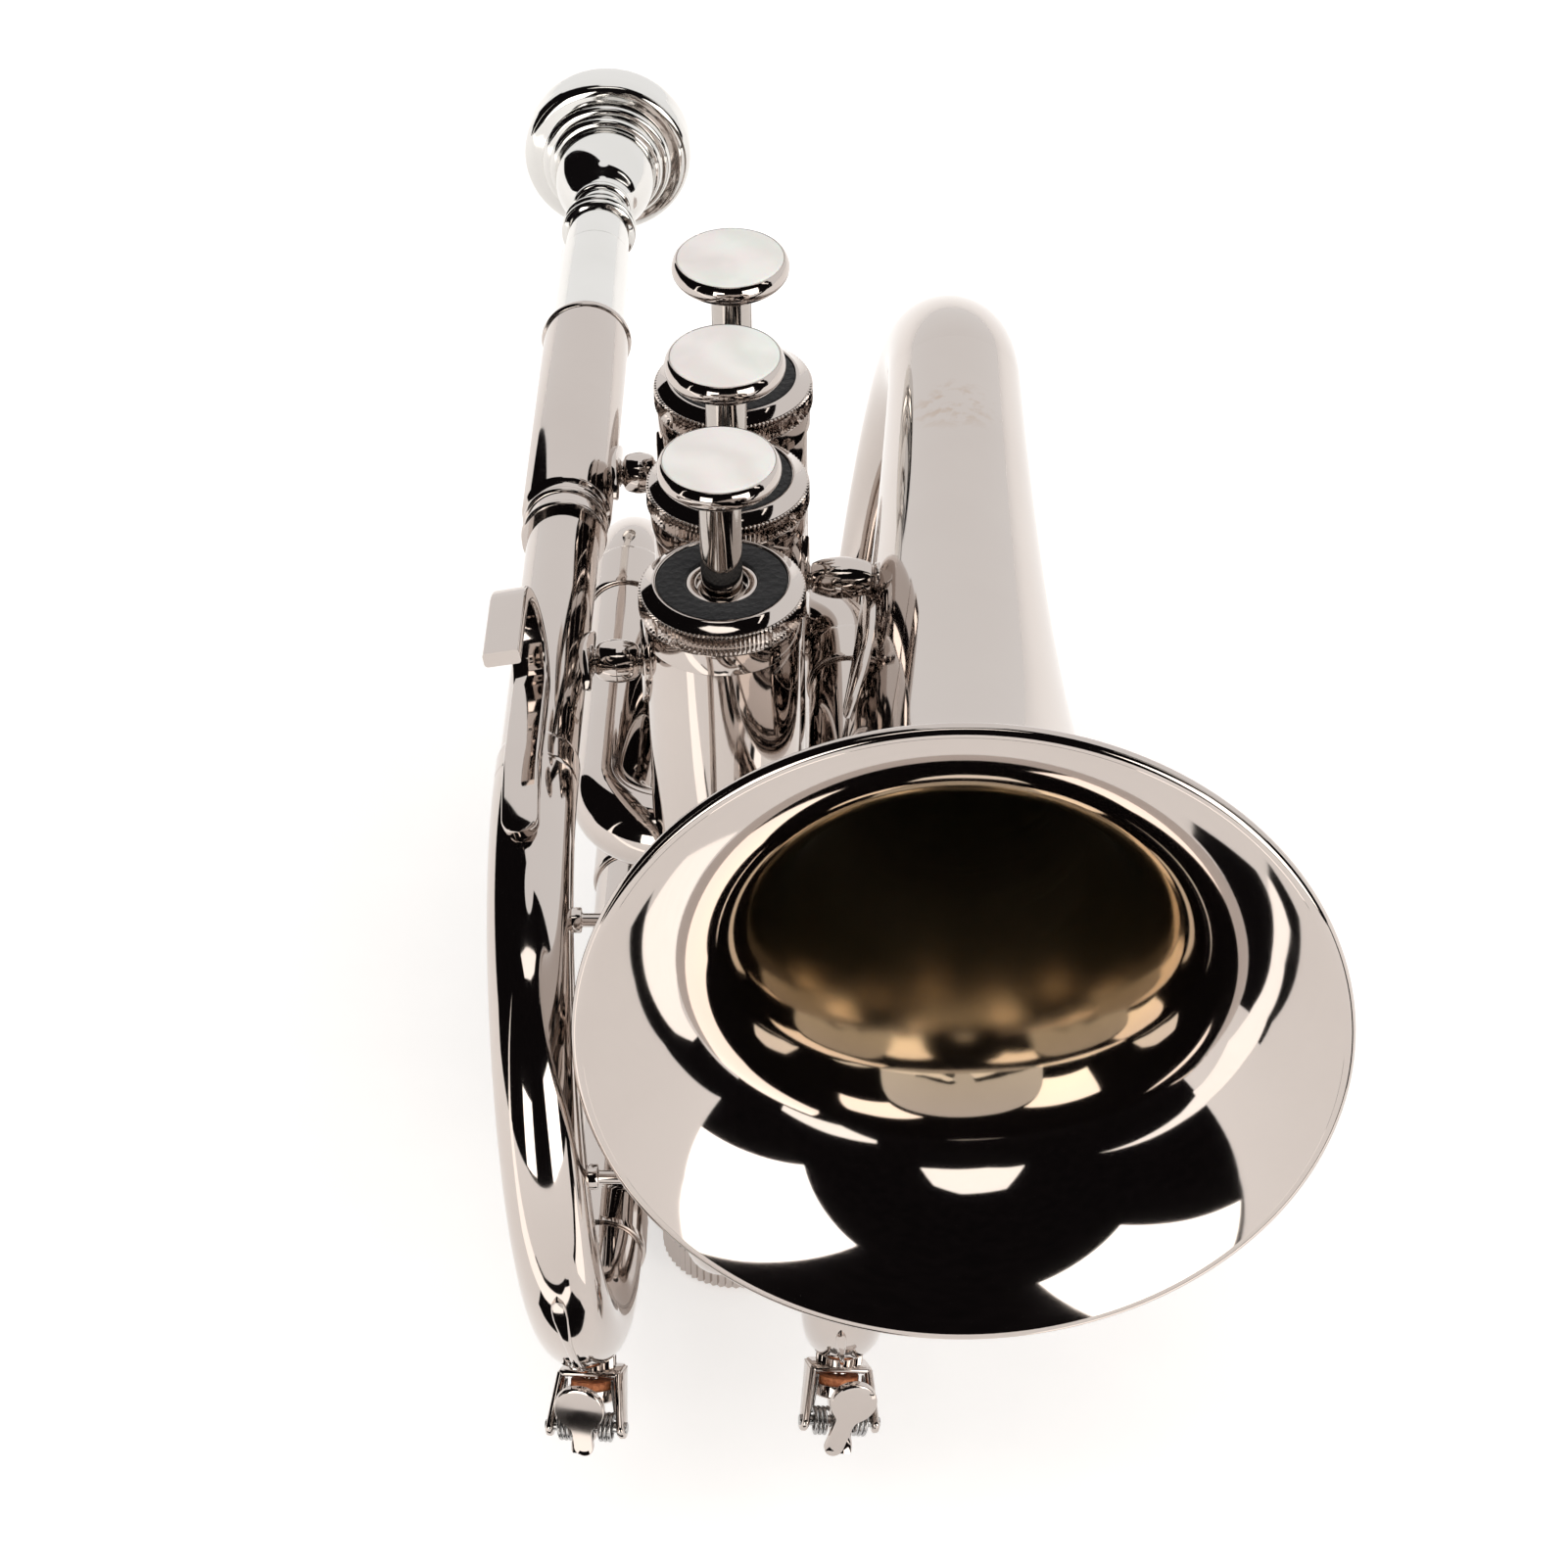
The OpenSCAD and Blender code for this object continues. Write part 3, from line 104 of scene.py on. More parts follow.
both = add(tree, "ShaderNodeAddShader", links={0: matt, 1: lift})
add(tree, "ShaderNodeOutputMaterial", links={"Surface": both})

# The sheet stops short of the camera, so metal that faces forwards and down sees the velvet.
sweep_edge = [(-6.0, 6.0), (-6.0, 0.6), (-0.75, -0.1), (-0.32, -0.56), (0.4, -0.56), (0.82, -0.1), (6.0, 0.6),
              (6.0, 6.0)]
paper_z = -0.0002
put_up("paper_sweep", [(x, y, paper_z) for x, y in sweep_edge], [tuple(range(len(sweep_edge)))], paper,
       metal_only=False)

# A white room: plain white where it is seen, softer as light on the horn.
world = bpy.data.worlds.new("white_room")
scene.world = world
world.use_nodes = True
tree = world.node_tree
tree.nodes.clear()
eye = add(tree, "ShaderNodeLightPath")
clear = add(tree, "ShaderNodeMath", links={0: eye.outputs["Is Camera Ray"], 1: eye.outputs["Is Glossy Ray"]},
            operation="MAXIMUM")
clear = add(tree, "ShaderNodeMath", links={0: clear, 1: eye.outputs["Is Transmission Ray"]},
            operation="MAXIMUM")
soft = add(tree, "ShaderNodeBackground", {"Color": linear("#F5F4F3"), "Strength": 0.88})
white = add(tree, "ShaderNodeBackground", {"Color": (1, 1, 1, 1), "Strength": 1.0})
mixed = add(tree, "ShaderNodeMixShader", links={0: clear, 1: soft, 2: white})
add(tree, "ShaderNodeOutputWorld", links={"Surface": mixed})

lamp_aim = Vector((0.033, -0.1, 0.11))


def softbox(name, place, width, height, strength):
    """Warm white lamp behind a diffuser, in metres, turned to the bell's mouth."""
    lamp = bpy.data.lights.new(name, "AREA")
    lamp.shape = "RECTANGLE"
    lamp.size = width
    lamp.size_y = height
    lamp.color = linear("#FFFAF4")[:3]
    lamp.energy = strength * width * height * pi
    holder = bpy.data.objects.new(name, lamp)
    holder.location = place
    holder.rotation_euler = (lamp_aim - Vector(place)).to_track_quat("-Z", "Y").to_euler()
    holder.visible_camera = False
    scene.collection.objects.link(holder)
    return holder


softbox("softbox_left", (-0.46, -1.26, 0.2), 0.48, 0.6, 3.4)
softbox("softbox_right", (0.84, -1.03, 0.27), 0.72, 0.82, 3.4)
softbox("softbox_top", (-0.023, -0.555, 1.272), 0.95, 0.58, 1.5).visible_glossy = False

# Black velvet on a curved frame. Only the metal sees it, so it doesn't darken the table.
cloth, tree = new_material("black_velvet_flag")
pile = add(tree, "ShaderNodeTexNoise", {"Scale": 40.0})
shade = add(tree, "ShaderNodeValToRGB", links={"Fac": pile}, stops=((0, "#0A090A"), (1, "#171415")))
dull = add(tree, "ShaderNodeEmission", {"Strength": 1.0}, {"Color": shade})
add(tree, "ShaderNodeOutputMaterial", links={"Surface": dull})
cloth_r = 2.4
cloth_rows, cloth_cols = 20, 48
cloth_low, cloth_high = -42, 80
cloth_left, cloth_right = -138, 84
points = []
for i in range(cloth_rows + 1):
    rise = radians(cloth_low + (cloth_high - cloth_low) * i / cloth_rows)
    for j in range(cloth_cols + 1):
        turn = radians(cloth_left + (cloth_right - cloth_left) * j / cloth_cols)
        level_r = cloth_r * cos(rise)
        points.append((level_r * sin(turn), -level_r * cos(turn), cloth_r * sin(rise)))
faces = []
for i in range(cloth_rows):
    for j in range(cloth_cols):
        a = i * (cloth_cols + 1) + j
        faces.append((a, a + 1, a + cloth_cols + 2, a + cloth_cols + 1))
put_up("velvet_flag", points, faces, cloth)

# White boards high up and on both sides, and pale and black cards on the table before the bell.
# In the polished flare they draw the pale edges and the dark lines.
board, tree = new_material("white_foam_board")
pile = add(tree, "ShaderNodeTexNoise", {"Scale": 12.0})
shade = add(tree, "ShaderNodeValToRGB", links={"Fac": pile}, stops=((0, "#F3EEE8"), (1, "#FBF7F2")))
lit = add(tree, "ShaderNodeEmission", {"Strength": 2.0}, {"Color": shade})
add(tree, "ShaderNodeOutputMaterial", links={"Surface": lit})
mouth = (33, -100, 109.3)
card_z = 0.4


def stand_board(name, far, edge):
    """White board a distance off the bell's mouth, with corners in degrees to the right and up."""
    put_up(name, [(0.001 * (mouth[0] + far * cos(radians(rise)) * sin(radians(turn))),
                   0.001 * (mouth[1] - far * cos(radians(rise)) * cos(radians(turn))),
                   0.001 * (mouth[2] + far * sin(radians(rise)))) for turn, rise in edge],
           [tuple(range(len(edge)))], board)


def lay_card(name, edge, material):
    """Card just off the paper, with corners in millimetres."""
    put_up(name, [(0.001 * x, 0.001 * y, 0.001 * card_z) for x, y in edge], [tuple(range(len(edge)))],
           material)


stand_board("board_over", 1300, ((-50, 58), (-28, 56.5), (0, 59.5), (20, 61), (38, 64.5), (26, 68), (8, 70),
                                 (-12, 70), (-28, 68), (-42, 62.5)))
stand_board("board_left", 2200, ((-64, 32), (-66, 0), (-66, -14), (-73, -14), (-69, 0), (-66, 20)))
stand_board("board_right", 2200, ((69, 53), (74, 33), (78, 13), (80, 13), (78.5, 38), (71, 53)))
lay_card("card_right_pale", ((47, -112), (60, -112), (100, -115), (130, -122), (185, -129), (185, -139),
                             (150, -147), (110, -147), (62, -149), (50, -138)), board)
lay_card("card_left_pale", ((-636, -304), (-385, -228), (-210, -170), (-120, -139), (-80, -135), (-50, -134),
                            (-10, -139), (13, -146), (18, -152), (5, -156), (-10, -151), (-50, -154),
                            (-80, -165), (-120, -178), (-200, -209), (-366, -278), (-606, -385)), board)
lay_card("card_right_black", ((55, -149.5), (62, -149.2), (110, -147.2), (150, -147.2), (185.2, -139.2),
                              (185.2, -128), (434, -171), (1000, -270), (1000, -440), (410, -252),
                              (200, -183), (150, -168), (120, -164), (85, -159), (62, -160)), cloth)
lay_card("card_left_black", ((-60, -112), (-50, -110), (0, -110), (22, -112), (25, -125), (18, -145),
                             (13, -145.5), (-10, -138.5), (-50, -133.5), (-60, -133.6)), cloth)
lay_card("card_left_line", ((-80, -165.5), (-50, -154.5), (-10, -151.5), (5, -156.5), (18, -152.5),
                            (22, -158), (12, -165), (-10, -163), (-50, -161), (-80, -170)), cloth)

camera_data = bpy.data.cameras.new("camera")
camera_data.sensor_width = 36.0
camera_data.lens = 107.93
camera = bpy.data.objects.new("camera", camera_data)
camera.location = (0.02489, -0.54548, 0.51874)
camera.rotation_euler = (radians(50.6596), radians(0.6716), radians(1.288))
scene.collection.objects.link(camera)
scene.camera = camera

# ---- Bell ----
# One sheet of brass, spun over a mandrel and rolled round a wire at the rim, then plated.
# The tubes lie in their own frame: origin in the bell's mouth, +Y back along the bell.

tube_tilt = radians(3.81)
TUBES = Matrix.Translation(mouth) @ Matrix.Rotation(-tube_tilt, 4, "X")
ALONG_Y = Matrix.Rotation(radians(-90), 4, "X")


def surface(name, rings, material, frame_of=TUBES, loop=True, crease=35, body="horn", node=None, depths=None):
    """Closed skin over rings of points in millimetres, each ring closed in itself. It rides on a
    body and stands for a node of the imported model."""
    count = len(rings[0])
    points = [(frame_of @ Vector(p)) * 0.001 for ring in rings for p in ring]
    faces = []
    for i in range(len(rings) if loop else len(rings) - 1):
        here = i * count
        there = (i + 1) % len(rings) * count
        for j in range(count):
            k = (j + 1) % count
            faces.append((here + j, here + k, there + k, there + j))
    if not loop:
        faces.append(tuple(range(count)))
        faces.append(tuple((len(rings) - 1) * count + j for j in range(count)))
    mesh = bpy.data.meshes.new(name)
    mesh.from_pydata(points, [], faces)
    if depths:
        layer = mesh.attributes.new("inside_depth", "FLOAT", "POINT")
        layer.data.foreach_set("value", depths)
    work = bmesh.new()
    work.from_mesh(mesh)
    bmesh.ops.remove_doubles(work, verts=work.verts, dist=2e-7)
    bmesh.ops.recalc_face_normals(work, faces=work.faces)
    for face in work.faces:
        face.smooth = True
    work.to_mesh(mesh)
    work.free()
    mesh.set_sharp_from_angle(angle=radians(crease))
    mesh.materials.append(material)
    piece = bpy.data.objects.new(name, mesh)
    scene.collection.objects.link(piece)
    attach(piece, body)
    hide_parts(node)
    return piece


def lathe(name, outline, material, frame_of, steps=128, teeth=(0, 0, 1, 0, 0), **words):
    """Turns an outline of (radius, height) about the frame's Z. teeth are V-grooves round it:
    their count and depth, the heights they lie between, and the radius that stays plain."""
    count, depth, low, high, root = teeth
    rings = []
    for i in range(steps):
        turn = 2 * pi * i / steps
        ring = []
        for r, h in outline:
            if low <= h <= high and r > root:
                phase = (turn / (2 * pi) * count) % 1
                r -= depth * (1 - abs(2 * phase - 1))
            ring.append((r * cos(turn), r * sin(turn), h))
        rings.append(ring)
    return surface(name, rings, material, frame_of, **words)


# Bright nickel over brass, buffed by hand: a warm mirror with waves 14 mm long and faint haze from
# handling. A noise scale is in patterns a metre, so 70 is one in 14 mm.
nickel, tree = new_material("bright_nickel_plate")
where = add(tree, "ShaderNodeTexCoord").outputs["Object"]
cloud = add(tree, "ShaderNodeTexNoise", {"Scale": 55.0, "Detail": 3.0}, {"Vector": where})
tone = add(tree, "ShaderNodeValToRGB", links={"Fac": cloud}, stops=((0, "#C4BAB4"), (1, "#CBC2BC")))
haze = add(tree, "ShaderNodeTexNoise", {"Scale": 140.0, "Detail": 5.0}, {"Vector": where})
polish = add(tree, "ShaderNodeMapRange",
             {"From Min": 0.35, "From Max": 0.75, "To Min": 0.035, "To Max": 0.085}, {"Value": haze})
wave = add(tree, "ShaderNodeTexNoise", {"Scale": 70.0, "Detail": 1.0}, {"Vector": where})
buffed = add(tree, "ShaderNodeBump", {"Strength": 0.12, "Distance": 0.0004}, {"Height": wave})
shader = add(tree, "ShaderNodeBsdfPrincipled", {"Metallic": 1.0},
             {"Base Color": tone, "Roughness": polish,
              "Normal": buffed})
add(tree, "ShaderNodeOutputMaterial", links={"Surface": shader})

# The same plate on the bell. Down the throat the buff can't reach, so it is rougher, and the spinning tool
# leaves rings 0.7 mm apart. There its tone turns warmer and lighter: painted warm light, standing in for the
# light bounced round inside the bell. Brown blotches darken it near the stem's far end.
bell_nickel, tree = new_material("bell_nickel_over_brass")
where = add(tree, "ShaderNodeTexCoord").outputs["Object"]
depth = add(tree, "ShaderNodeAttribute", attribute_name="inside_depth", attribute_type="GEOMETRY")
cloud = add(tree, "ShaderNodeTexNoise", {"Scale": 45.0, "Detail": 4.0}, {"Vector": where})
tone = add(tree, "ShaderNodeValToRGB", links={"Fac": cloud}, stops=((0, "#C4BAB4"), (1, "#CBC2BC")))
# Painted warm light: down the throat the tone turns warmer and lighter, for the light bounced round inside
# the bell.
painted_warm_throat_tone = add(tree, "ShaderNodeValToRGB", links={"Fac": cloud}, stops=((0, "#CEC3B3"), (1, "#DACFBE")))
along = add(tree, "ShaderNodeMapping", {"Rotation": (tube_tilt, 0, 0), "Scale": (55, 1500, 55)},
            {"Vector": where})
spun = add(tree, "ShaderNodeTexNoise", {"Scale": 1.0, "Detail": 3.0}, {"Vector": along})
painted_warmth_share = add(tree, "ShaderNodeMapRange", {"From Min": 0.04, "From Max": 0.4}, {"Value": depth.outputs["Fac"]})
plate_with_painted_warmth = add(tree, "ShaderNodeMix", links={"Factor": painted_warmth_share, "A": tone, "B": painted_warm_throat_tone}, data_type="RGBA")
# Brown blotches darken the plate within 8.5 mm of this point, high on the inner wall near the stem's far end.
stem_top = (0.0325, 0.043, 0.1108)
from_stem = add(tree, "ShaderNodeVectorMath", {1: stem_top}, {0: where}, operation="DISTANCE")
near = add(tree, "ShaderNodeMapRange", {"From Min": 0.003, "From Max": 0.0085, "To Min": 1.0, "To Max": 0.0},
           {"Value": from_stem.outputs["Value"]})
blots = add(tree, "ShaderNodeTexNoise", {"Scale": 480.0, "Detail": 4.0}, {"Vector": where})
brown_blot_mask = add(tree, "ShaderNodeMapRange", {"From Min": 0.5, "From Max": 0.66, "To Max": 0.5},
             {"Value": blots})
brown_near_stem = add(tree, "ShaderNodeMath", links={0: near, 1: brown_blot_mask}, operation="MULTIPLY")
plate = add(tree, "ShaderNodeMix", {"B": linear("#B29A85")},
            {"Factor": brown_near_stem, "A": plate_with_painted_warmth.outputs["Result"]}, data_type="RGBA")
unbuffed = add(tree, "ShaderNodeMapRange",
               {"From Min": 0.28, "From Max": 0.7, "To Min": 0.045, "To Max": 0.2},
               {"Value": depth.outputs["Fac"]}, interpolation_type="SMOOTHSTEP")
ringed = add(tree, "ShaderNodeMapRange", {"From Min": 0.3, "From Max": 0.7, "To Min": 0.92, "To Max": 1.1},
             {"Value": spun})
dull_inside = add(tree, "ShaderNodeMath", links={0: unbuffed, 1: ringed}, operation="MULTIPLY")
wave = add(tree, "ShaderNodeTexNoise", {"Scale": 38.0, "Detail": 1.0}, {"Vector": where})
buffed = add(tree, "ShaderNodeBump", {"Strength": 0.12, "Distance": 0.0005}, {"Height": wave})
shader = add(tree, "ShaderNodeBsdfPrincipled", {"Metallic": 1.0},
             {"Base Color": plate.outputs["Result"], "Roughness": dull_inside,
              "Normal": buffed})
add(tree, "ShaderNodeOutputMaterial", links={"Surface": shader})

bell_length = 164.3
bell_wall = 0.6


def bell_r(y):
    """Bell radius at a distance behind the mouth, by Bessel's flare."""
    return 50.4 * (10.4 / (y + 10.4)) ** 0.557


def arc(x, y, r, start, end, parts=12):
    """Points of an arc, anticlockwise, in degrees."""
    return [(x + r * cos(radians(start + (end - start) * i / parts)),
             y + r * sin(radians(start + (end - start) * i / parts))) for i in range(parts + 1)]


inner_lip, outer_lip = 0.33, 0.82
flare_steps = 110
bead_steps = 26
throat_start, throat_length = 8, 64
outline = []
shares = []
for i in range(flare_steps + 1):
    y = inner_lip + (bell_length - inner_lip) * (1 - i / flare_steps) ** 2.2
    outline.append((bell_r(y) - bell_wall, y - 0.26 * 2.718 ** (-(y - inner_lip) / 3)))
    shares.append(min(1, max(0, (y - throat_start) / throat_length)))
outline += arc(49.35, 1.06, 1.05, -111.7, 193.3, bead_steps)
for i in range(flare_steps + 1):
    y = outer_lip + (bell_length - outer_lip) * (i / flare_steps) ** 2.2
    outline.append((bell_r(y), y))
shares += [0] * (len(outline) - len(shares))
lathe("bell_skin", outline, bell_nickel, TUBES @ ALONG_Y, steps=192, node="bell", depths=shares * 192)

# ---- Rear bow of the bell ----
# A conical brass tube bent round a former, soft-soldered edge to edge to the bell's stem.
# The big ferrule over its lower end is a turned ring.


def pipe_skin(name, stations, material, sides=64, **words):
    """Skin of a bent tube. Each station is (centre, first across, second across, outer, inner)."""
    rings = []
    for k in range(sides):
        turn = 2 * pi * k / sides
        ring = []
        for centre, first, second, outer, inner in stations:
            ring.append(Vector(centre) + (Vector(first) * cos(turn) + Vector(second) * sin(turn)) * outer)
        for centre, first, second, outer, inner in reversed(stations):
            ring.append(Vector(centre) + (Vector(first) * cos(turn) + Vector(second) * sin(turn)) * inner)
        rings.append(ring)
    return surface(name, rings, material, **words)


def half_bow(upper, lower, back, upper_r, lower_r, wall, steps=72):
    """Stations of a half-round bow between two tubes, one over the other. back is +1 or -1 along Y."""
    upper = Vector(upper)
    lower = Vector(lower)
    bend_r = (upper - lower).length / 2
    middle = (upper + lower) / 2
    up = (upper - lower).normalized()
    behind = Vector((0, back, 0))
    side = up.cross(behind)
    stations = []
    for i in range(steps + 1):
        turn = pi * i / steps
        spoke = up * cos(turn) + behind * sin(turn)
        size = upper_r + (lower_r - upper_r) * i / steps
        stations.append((middle + spoke * bend_r, spoke, side, size, size - wall))
    return stations


def straight(start, end, start_r, end_r, wall):
    start = Vector(start)
    end = Vector(end)
    along = (end - start).normalized()
    first = along.cross(Vector((1, 0, 0))).normalized()
    if first.length < 0.5:
        first = Vector((0, 1, 0))
    second = along.cross(first)
    return [(start, first, second, start_r, start_r - wall), (end, first, second, end_r, end_r - wall)]


tube_r = 5.76
tube_wall = 0.5
leg_z = -80
leg_back_r = 8
leg_front_y = 48
bell_low = (-14.2, bell_length, leg_z)
leg_front = (-16, leg_front_y, leg_z)
pipe_skin("rear_bow", half_bow((0, bell_length, 0), bell_low, 1, bell_r(bell_length), leg_back_r, bell_wall),
          nickel, sides=80, node="bell_bow")
pipe_skin("lower_leg_tube", straight(bell_low, leg_front, leg_back_r, tube_r, tube_wall), nickel,
          node="lower_leg")


def rounded(outline, radius, parts=4):
    """Rounds the corners of a closed outline; corners on the axis stay."""
    result = []
    count = len(outline)
    for i, corner in enumerate(outline):
        here = Vector(corner)
        if here.x < 1e-6:
            result.append(corner)
            continue
        before = Vector(outline[i - 1]) - here
        after = Vector(outline[(i + 1) % count]) - here
        cut = min(radius, before.length * 0.45, after.length * 0.45)
        start = here + before.normalized() * cut
        end = here + after.normalized() * cut
        for k in range(parts + 1):
            t = k / parts
            result.append(tuple(start * (1 - t) ** 2 + here * 2 * t * (1 - t) + end * t * t))
    return result


def band(name, start, length, node, inner_r=tube_r - 0.05, outer_r=tube_r + 0.6, frame_of=TUBES):
    """Turned ring with broken edges, slid over a tube along +Y."""
    outline = rounded([(inner_r, 0), (outer_r - 0.12, 0), (outer_r, 0.8), (outer_r, length - 0.8),
                       (outer_r - 0.12, length), (inner_r, length)], 0.22)
    lathe(name, outline, nickel, frame_of @ Matrix.Translation(start) @ ALONG_Y, node=node)


band("bell_bow_ferrule", (bell_low[0], bell_length - 8, leg_z), 8, "bell_ferrule", leg_back_r - 0.05, 8.6)

# ---- Right front bow and outlet ----
# Drawn brass tube. The bow takes the air up from the lower leg, the straight tube takes it
# back to the first valve, and an elbow turns it into the casing. Ferrules cover both joints.

ROW = Matrix.Identity(4)
valve_pitch = 25
casing_r = 10.75
outlet_top = (leg_front[0], leg_front_y, -23.262)
outlet_x = mouth[0] + leg_front[0]
outlet_z = 82.9
outlet_y = mouth[1] + (leg_front_y + (outlet_z - mouth[2]) * sin(tube_tilt)) / cos(tube_tilt)
saddle_x = sqrt(casing_r ** 2 - tube_r ** 2)
port_reach = saddle_x - 0.5
outlet_turn = outlet_x - port_reach
outlet_end_y = valve_pitch - outlet_turn
pipe_skin("right_bow", half_bow(outlet_top, leg_front, -1, tube_r, tube_r, tube_wall), nickel,
          node="right_front_bow")
pipe_skin("outlet_straight", straight((outlet_x, outlet_y, outlet_z), (outlet_x, outlet_end_y, outlet_z),
                                      tube_r, tube_r, tube_wall), nickel, frame_of=ROW,
          node="outlet_tube")


def quarter_bend(centre, bend_r, start, steps=28):
    """Stations of a quarter bend in a level plane, from the given angle on."""
    stations = []
    for i in range(steps + 1):
        turn = radians(start + 90 * i / steps)
        spoke = Vector((cos(turn), sin(turn), 0))
        point = Vector(centre) + spoke * bend_r
        stations.append((point, spoke, Vector((0, 0, 1)), tube_r, tube_r - tube_wall))
    return stations


pipe_skin("outlet_bend", quarter_bend((port_reach, outlet_end_y, outlet_z), outlet_turn, 0), nickel,
          frame_of=ROW, node="outlet_elbow")
band("right_ferrule_front", (outlet_x, outlet_y + 0.3, outlet_z), 8, "right_ferrules", frame_of=ROW)
band("right_ferrule_back", (outlet_x, outlet_end_y - 8, outlet_z), 8, "right_ferrules", frame_of=ROW)

# ---- Leadpipe and its bows ----
# The air's way in: leadpipe, front bow, low tube, rear bow and an elbow into the third valve.
# All drawn tube, silver-soldered, with turned ferrules over the joints.

lead_x, lead_z = -57.4, 9.8
low_x, low_z = -51.1, -73
return_x, return_z = -50.5, -21
front_y, back_y = 43.5, 143
lead_front = (lead_x, front_y, lead_z)
low_front = (low_x, front_y, low_z)
low_back = (low_x, back_y, low_z)
return_back = (return_x, back_y, return_z)
lead_r = 5.35
pipe_skin("leadpipe_tube", straight(lead_front, (lead_x, 116, lead_z), lead_r, lead_r, 0.55), nickel,
          node="leadpipe")
pipe_skin("left_bow", half_bow(lead_front, low_front, -1, tube_r, tube_r, tube_wall, 96), nickel,
          node="left_front_bow")
pipe_skin("low_tube", straight(low_front, low_back, tube_r, tube_r, tube_wall), nickel,
          node="left_low_tube")
pipe_skin("left_back_bow", half_bow(return_back, low_back, 1, tube_r, tube_r, tube_wall), nickel,
          node="left_rear_bow")
inlet_turn = -mouth[0] - return_x - port_reach
inlet_y = (-valve_pitch - mouth[1] - return_z * sin(tube_tilt)) / cos(tube_tilt)
inlet_start = (return_x, inlet_y + inlet_turn, return_z)
pipe_skin("inlet_straight", straight(inlet_start, return_back, tube_r, tube_r, tube_wall), nickel,
          node="inlet_tube")
bend_middle = (return_x + inlet_turn, inlet_y + inlet_turn, return_z)
pipe_skin("inlet_bend", quarter_bend(bend_middle, inlet_turn, 180), nickel, node="inlet_elbow")
band("leadpipe_socket", lead_front, 6, "left_ferrules", lead_r, tube_r)
band("low_ferrule_front", low_front, 8, "left_ferrules")
band("low_ferrule_back", (low_x, back_y - 10, low_z), 10, "left_ferrules")
band("return_ferrule", (return_x, back_y - 10, return_z), 10, "left_ferrules")

# ---- Receiver sleeve and pull-out receiver ----
# The sleeve is turned brass with two beads at its front and one at its mouth. The receiver
# tube slides in it for tuning, and is silver plated like the mouthpiece it holds.

# Silver over brass, burnished: whiter than the nickel, with handling haze 4 mm across.
silver, tree = new_material("burnished_silver_plate")
where = add(tree, "ShaderNodeTexCoord").outputs["Object"]
cloud = add(tree, "ShaderNodeTexNoise", {"Scale": 90.0, "Detail": 3.0}, {"Vector": where})
tone = add(tree, "ShaderNodeValToRGB", links={"Fac": cloud}, stops=((0, "#DDDBD7"), (1, "#E6E4E1")))
lines = add(tree, "ShaderNodeTexNoise", {"Scale": 260.0, "Detail": 4.0}, {"Vector": where})
polish = add(tree, "ShaderNodeMapRange", {"From Min": 0.35, "From Max": 0.75, "To Min": 0.04, "To Max": 0.1},
             {"Value": lines})
shader = add(tree, "ShaderNodeBsdfPrincipled", {"Metallic": 1.0}, {"Base Color": tone, "Roughness": polish})
add(tree, "ShaderNodeOutputMaterial", links={"Surface": shader})

LEAD = TUBES @ Matrix.Translation((lead_x, 0, lead_z)) @ ALONG_Y
sleeve_y, sleeve_end = 105.5, 164.5
sleeve_r = 6.6
outline = [(lead_r - 0.05, sleeve_y), (6.1, sleeve_y)]
for bead_y in (sleeve_y + 0.7, sleeve_y + 4.3):
    for i in range(9):
        turn = radians(-90 + 22.5 * i)
        outline.append((5.85 + 0.45 * cos(turn), bead_y + 0.6 + 0.6 * sin(turn)))
    outline.append((5.8, bead_y + 1.6))
outline += [(5.8, sleeve_y + 6.6), (6.0, sleeve_y + 6.9), (6.45, sleeve_y + 7.25), (sleeve_r, sleeve_y + 7.6),
            (sleeve_r, sleeve_end - 1.75)]
for i in range(9):
    turn = radians(-90 + 22.5 * i)
    outline.append((sleeve_r + 0.4 * max(0, cos(turn)), sleeve_end - 0.9 + 0.65 * sin(turn)))
outline += [(sleeve_r - 0.1, sleeve_end), (5.85, sleeve_end), (5.7, sleeve_end - 0.2), (5.7, sleeve_y + 8),
            (lead_r - 0.05, sleeve_y + 8)]
lathe("sleeve", outline, nickel, LEAD, node="receiver_sleeve")
receiver_end = 189
outline = rounded([(4.5, 119), (5.65, 119), (5.65, receiver_end), (5.05, receiver_end), (4.6, 167),
                   (4.5, 165)], 0.3)
lathe("receiver_tube", outline, silver, LEAD, body="tuning_slide", node="mouthpiece_receiver")

# ---- Mouthpiece ----
# Turned from one brass bar and silver plated: shank, double ring, waist, bowl with two
# stepped rings and a wide flat-topped rim round the cup. The lathe leaves every edge crisp.

MOUTH = LEAD @ Matrix.Translation((0, 0, receiver_end))


def curve_through(points, parts=5):
    """Catmull-Rom curve through the points."""
    result = []
    for i in range(len(points) - 1):
        p0 = Vector(points[max(i - 1, 0)])
        p1 = Vector(points[i])
        p2 = Vector(points[i + 1])
        p3 = Vector(points[min(i + 2, len(points) - 1)])
        for k in range(parts):
            t = k / parts
            result.append(tuple(0.5 * ((2 * p1) + (p2 - p0) * t + (2 * p0 - 5 * p1 + 4 * p2 - p3) * t * t
                                       + (3 * p1 - p0 - 3 * p2 + p3) * t ** 3)))
    result.append(tuple(points[-1]))
    return result


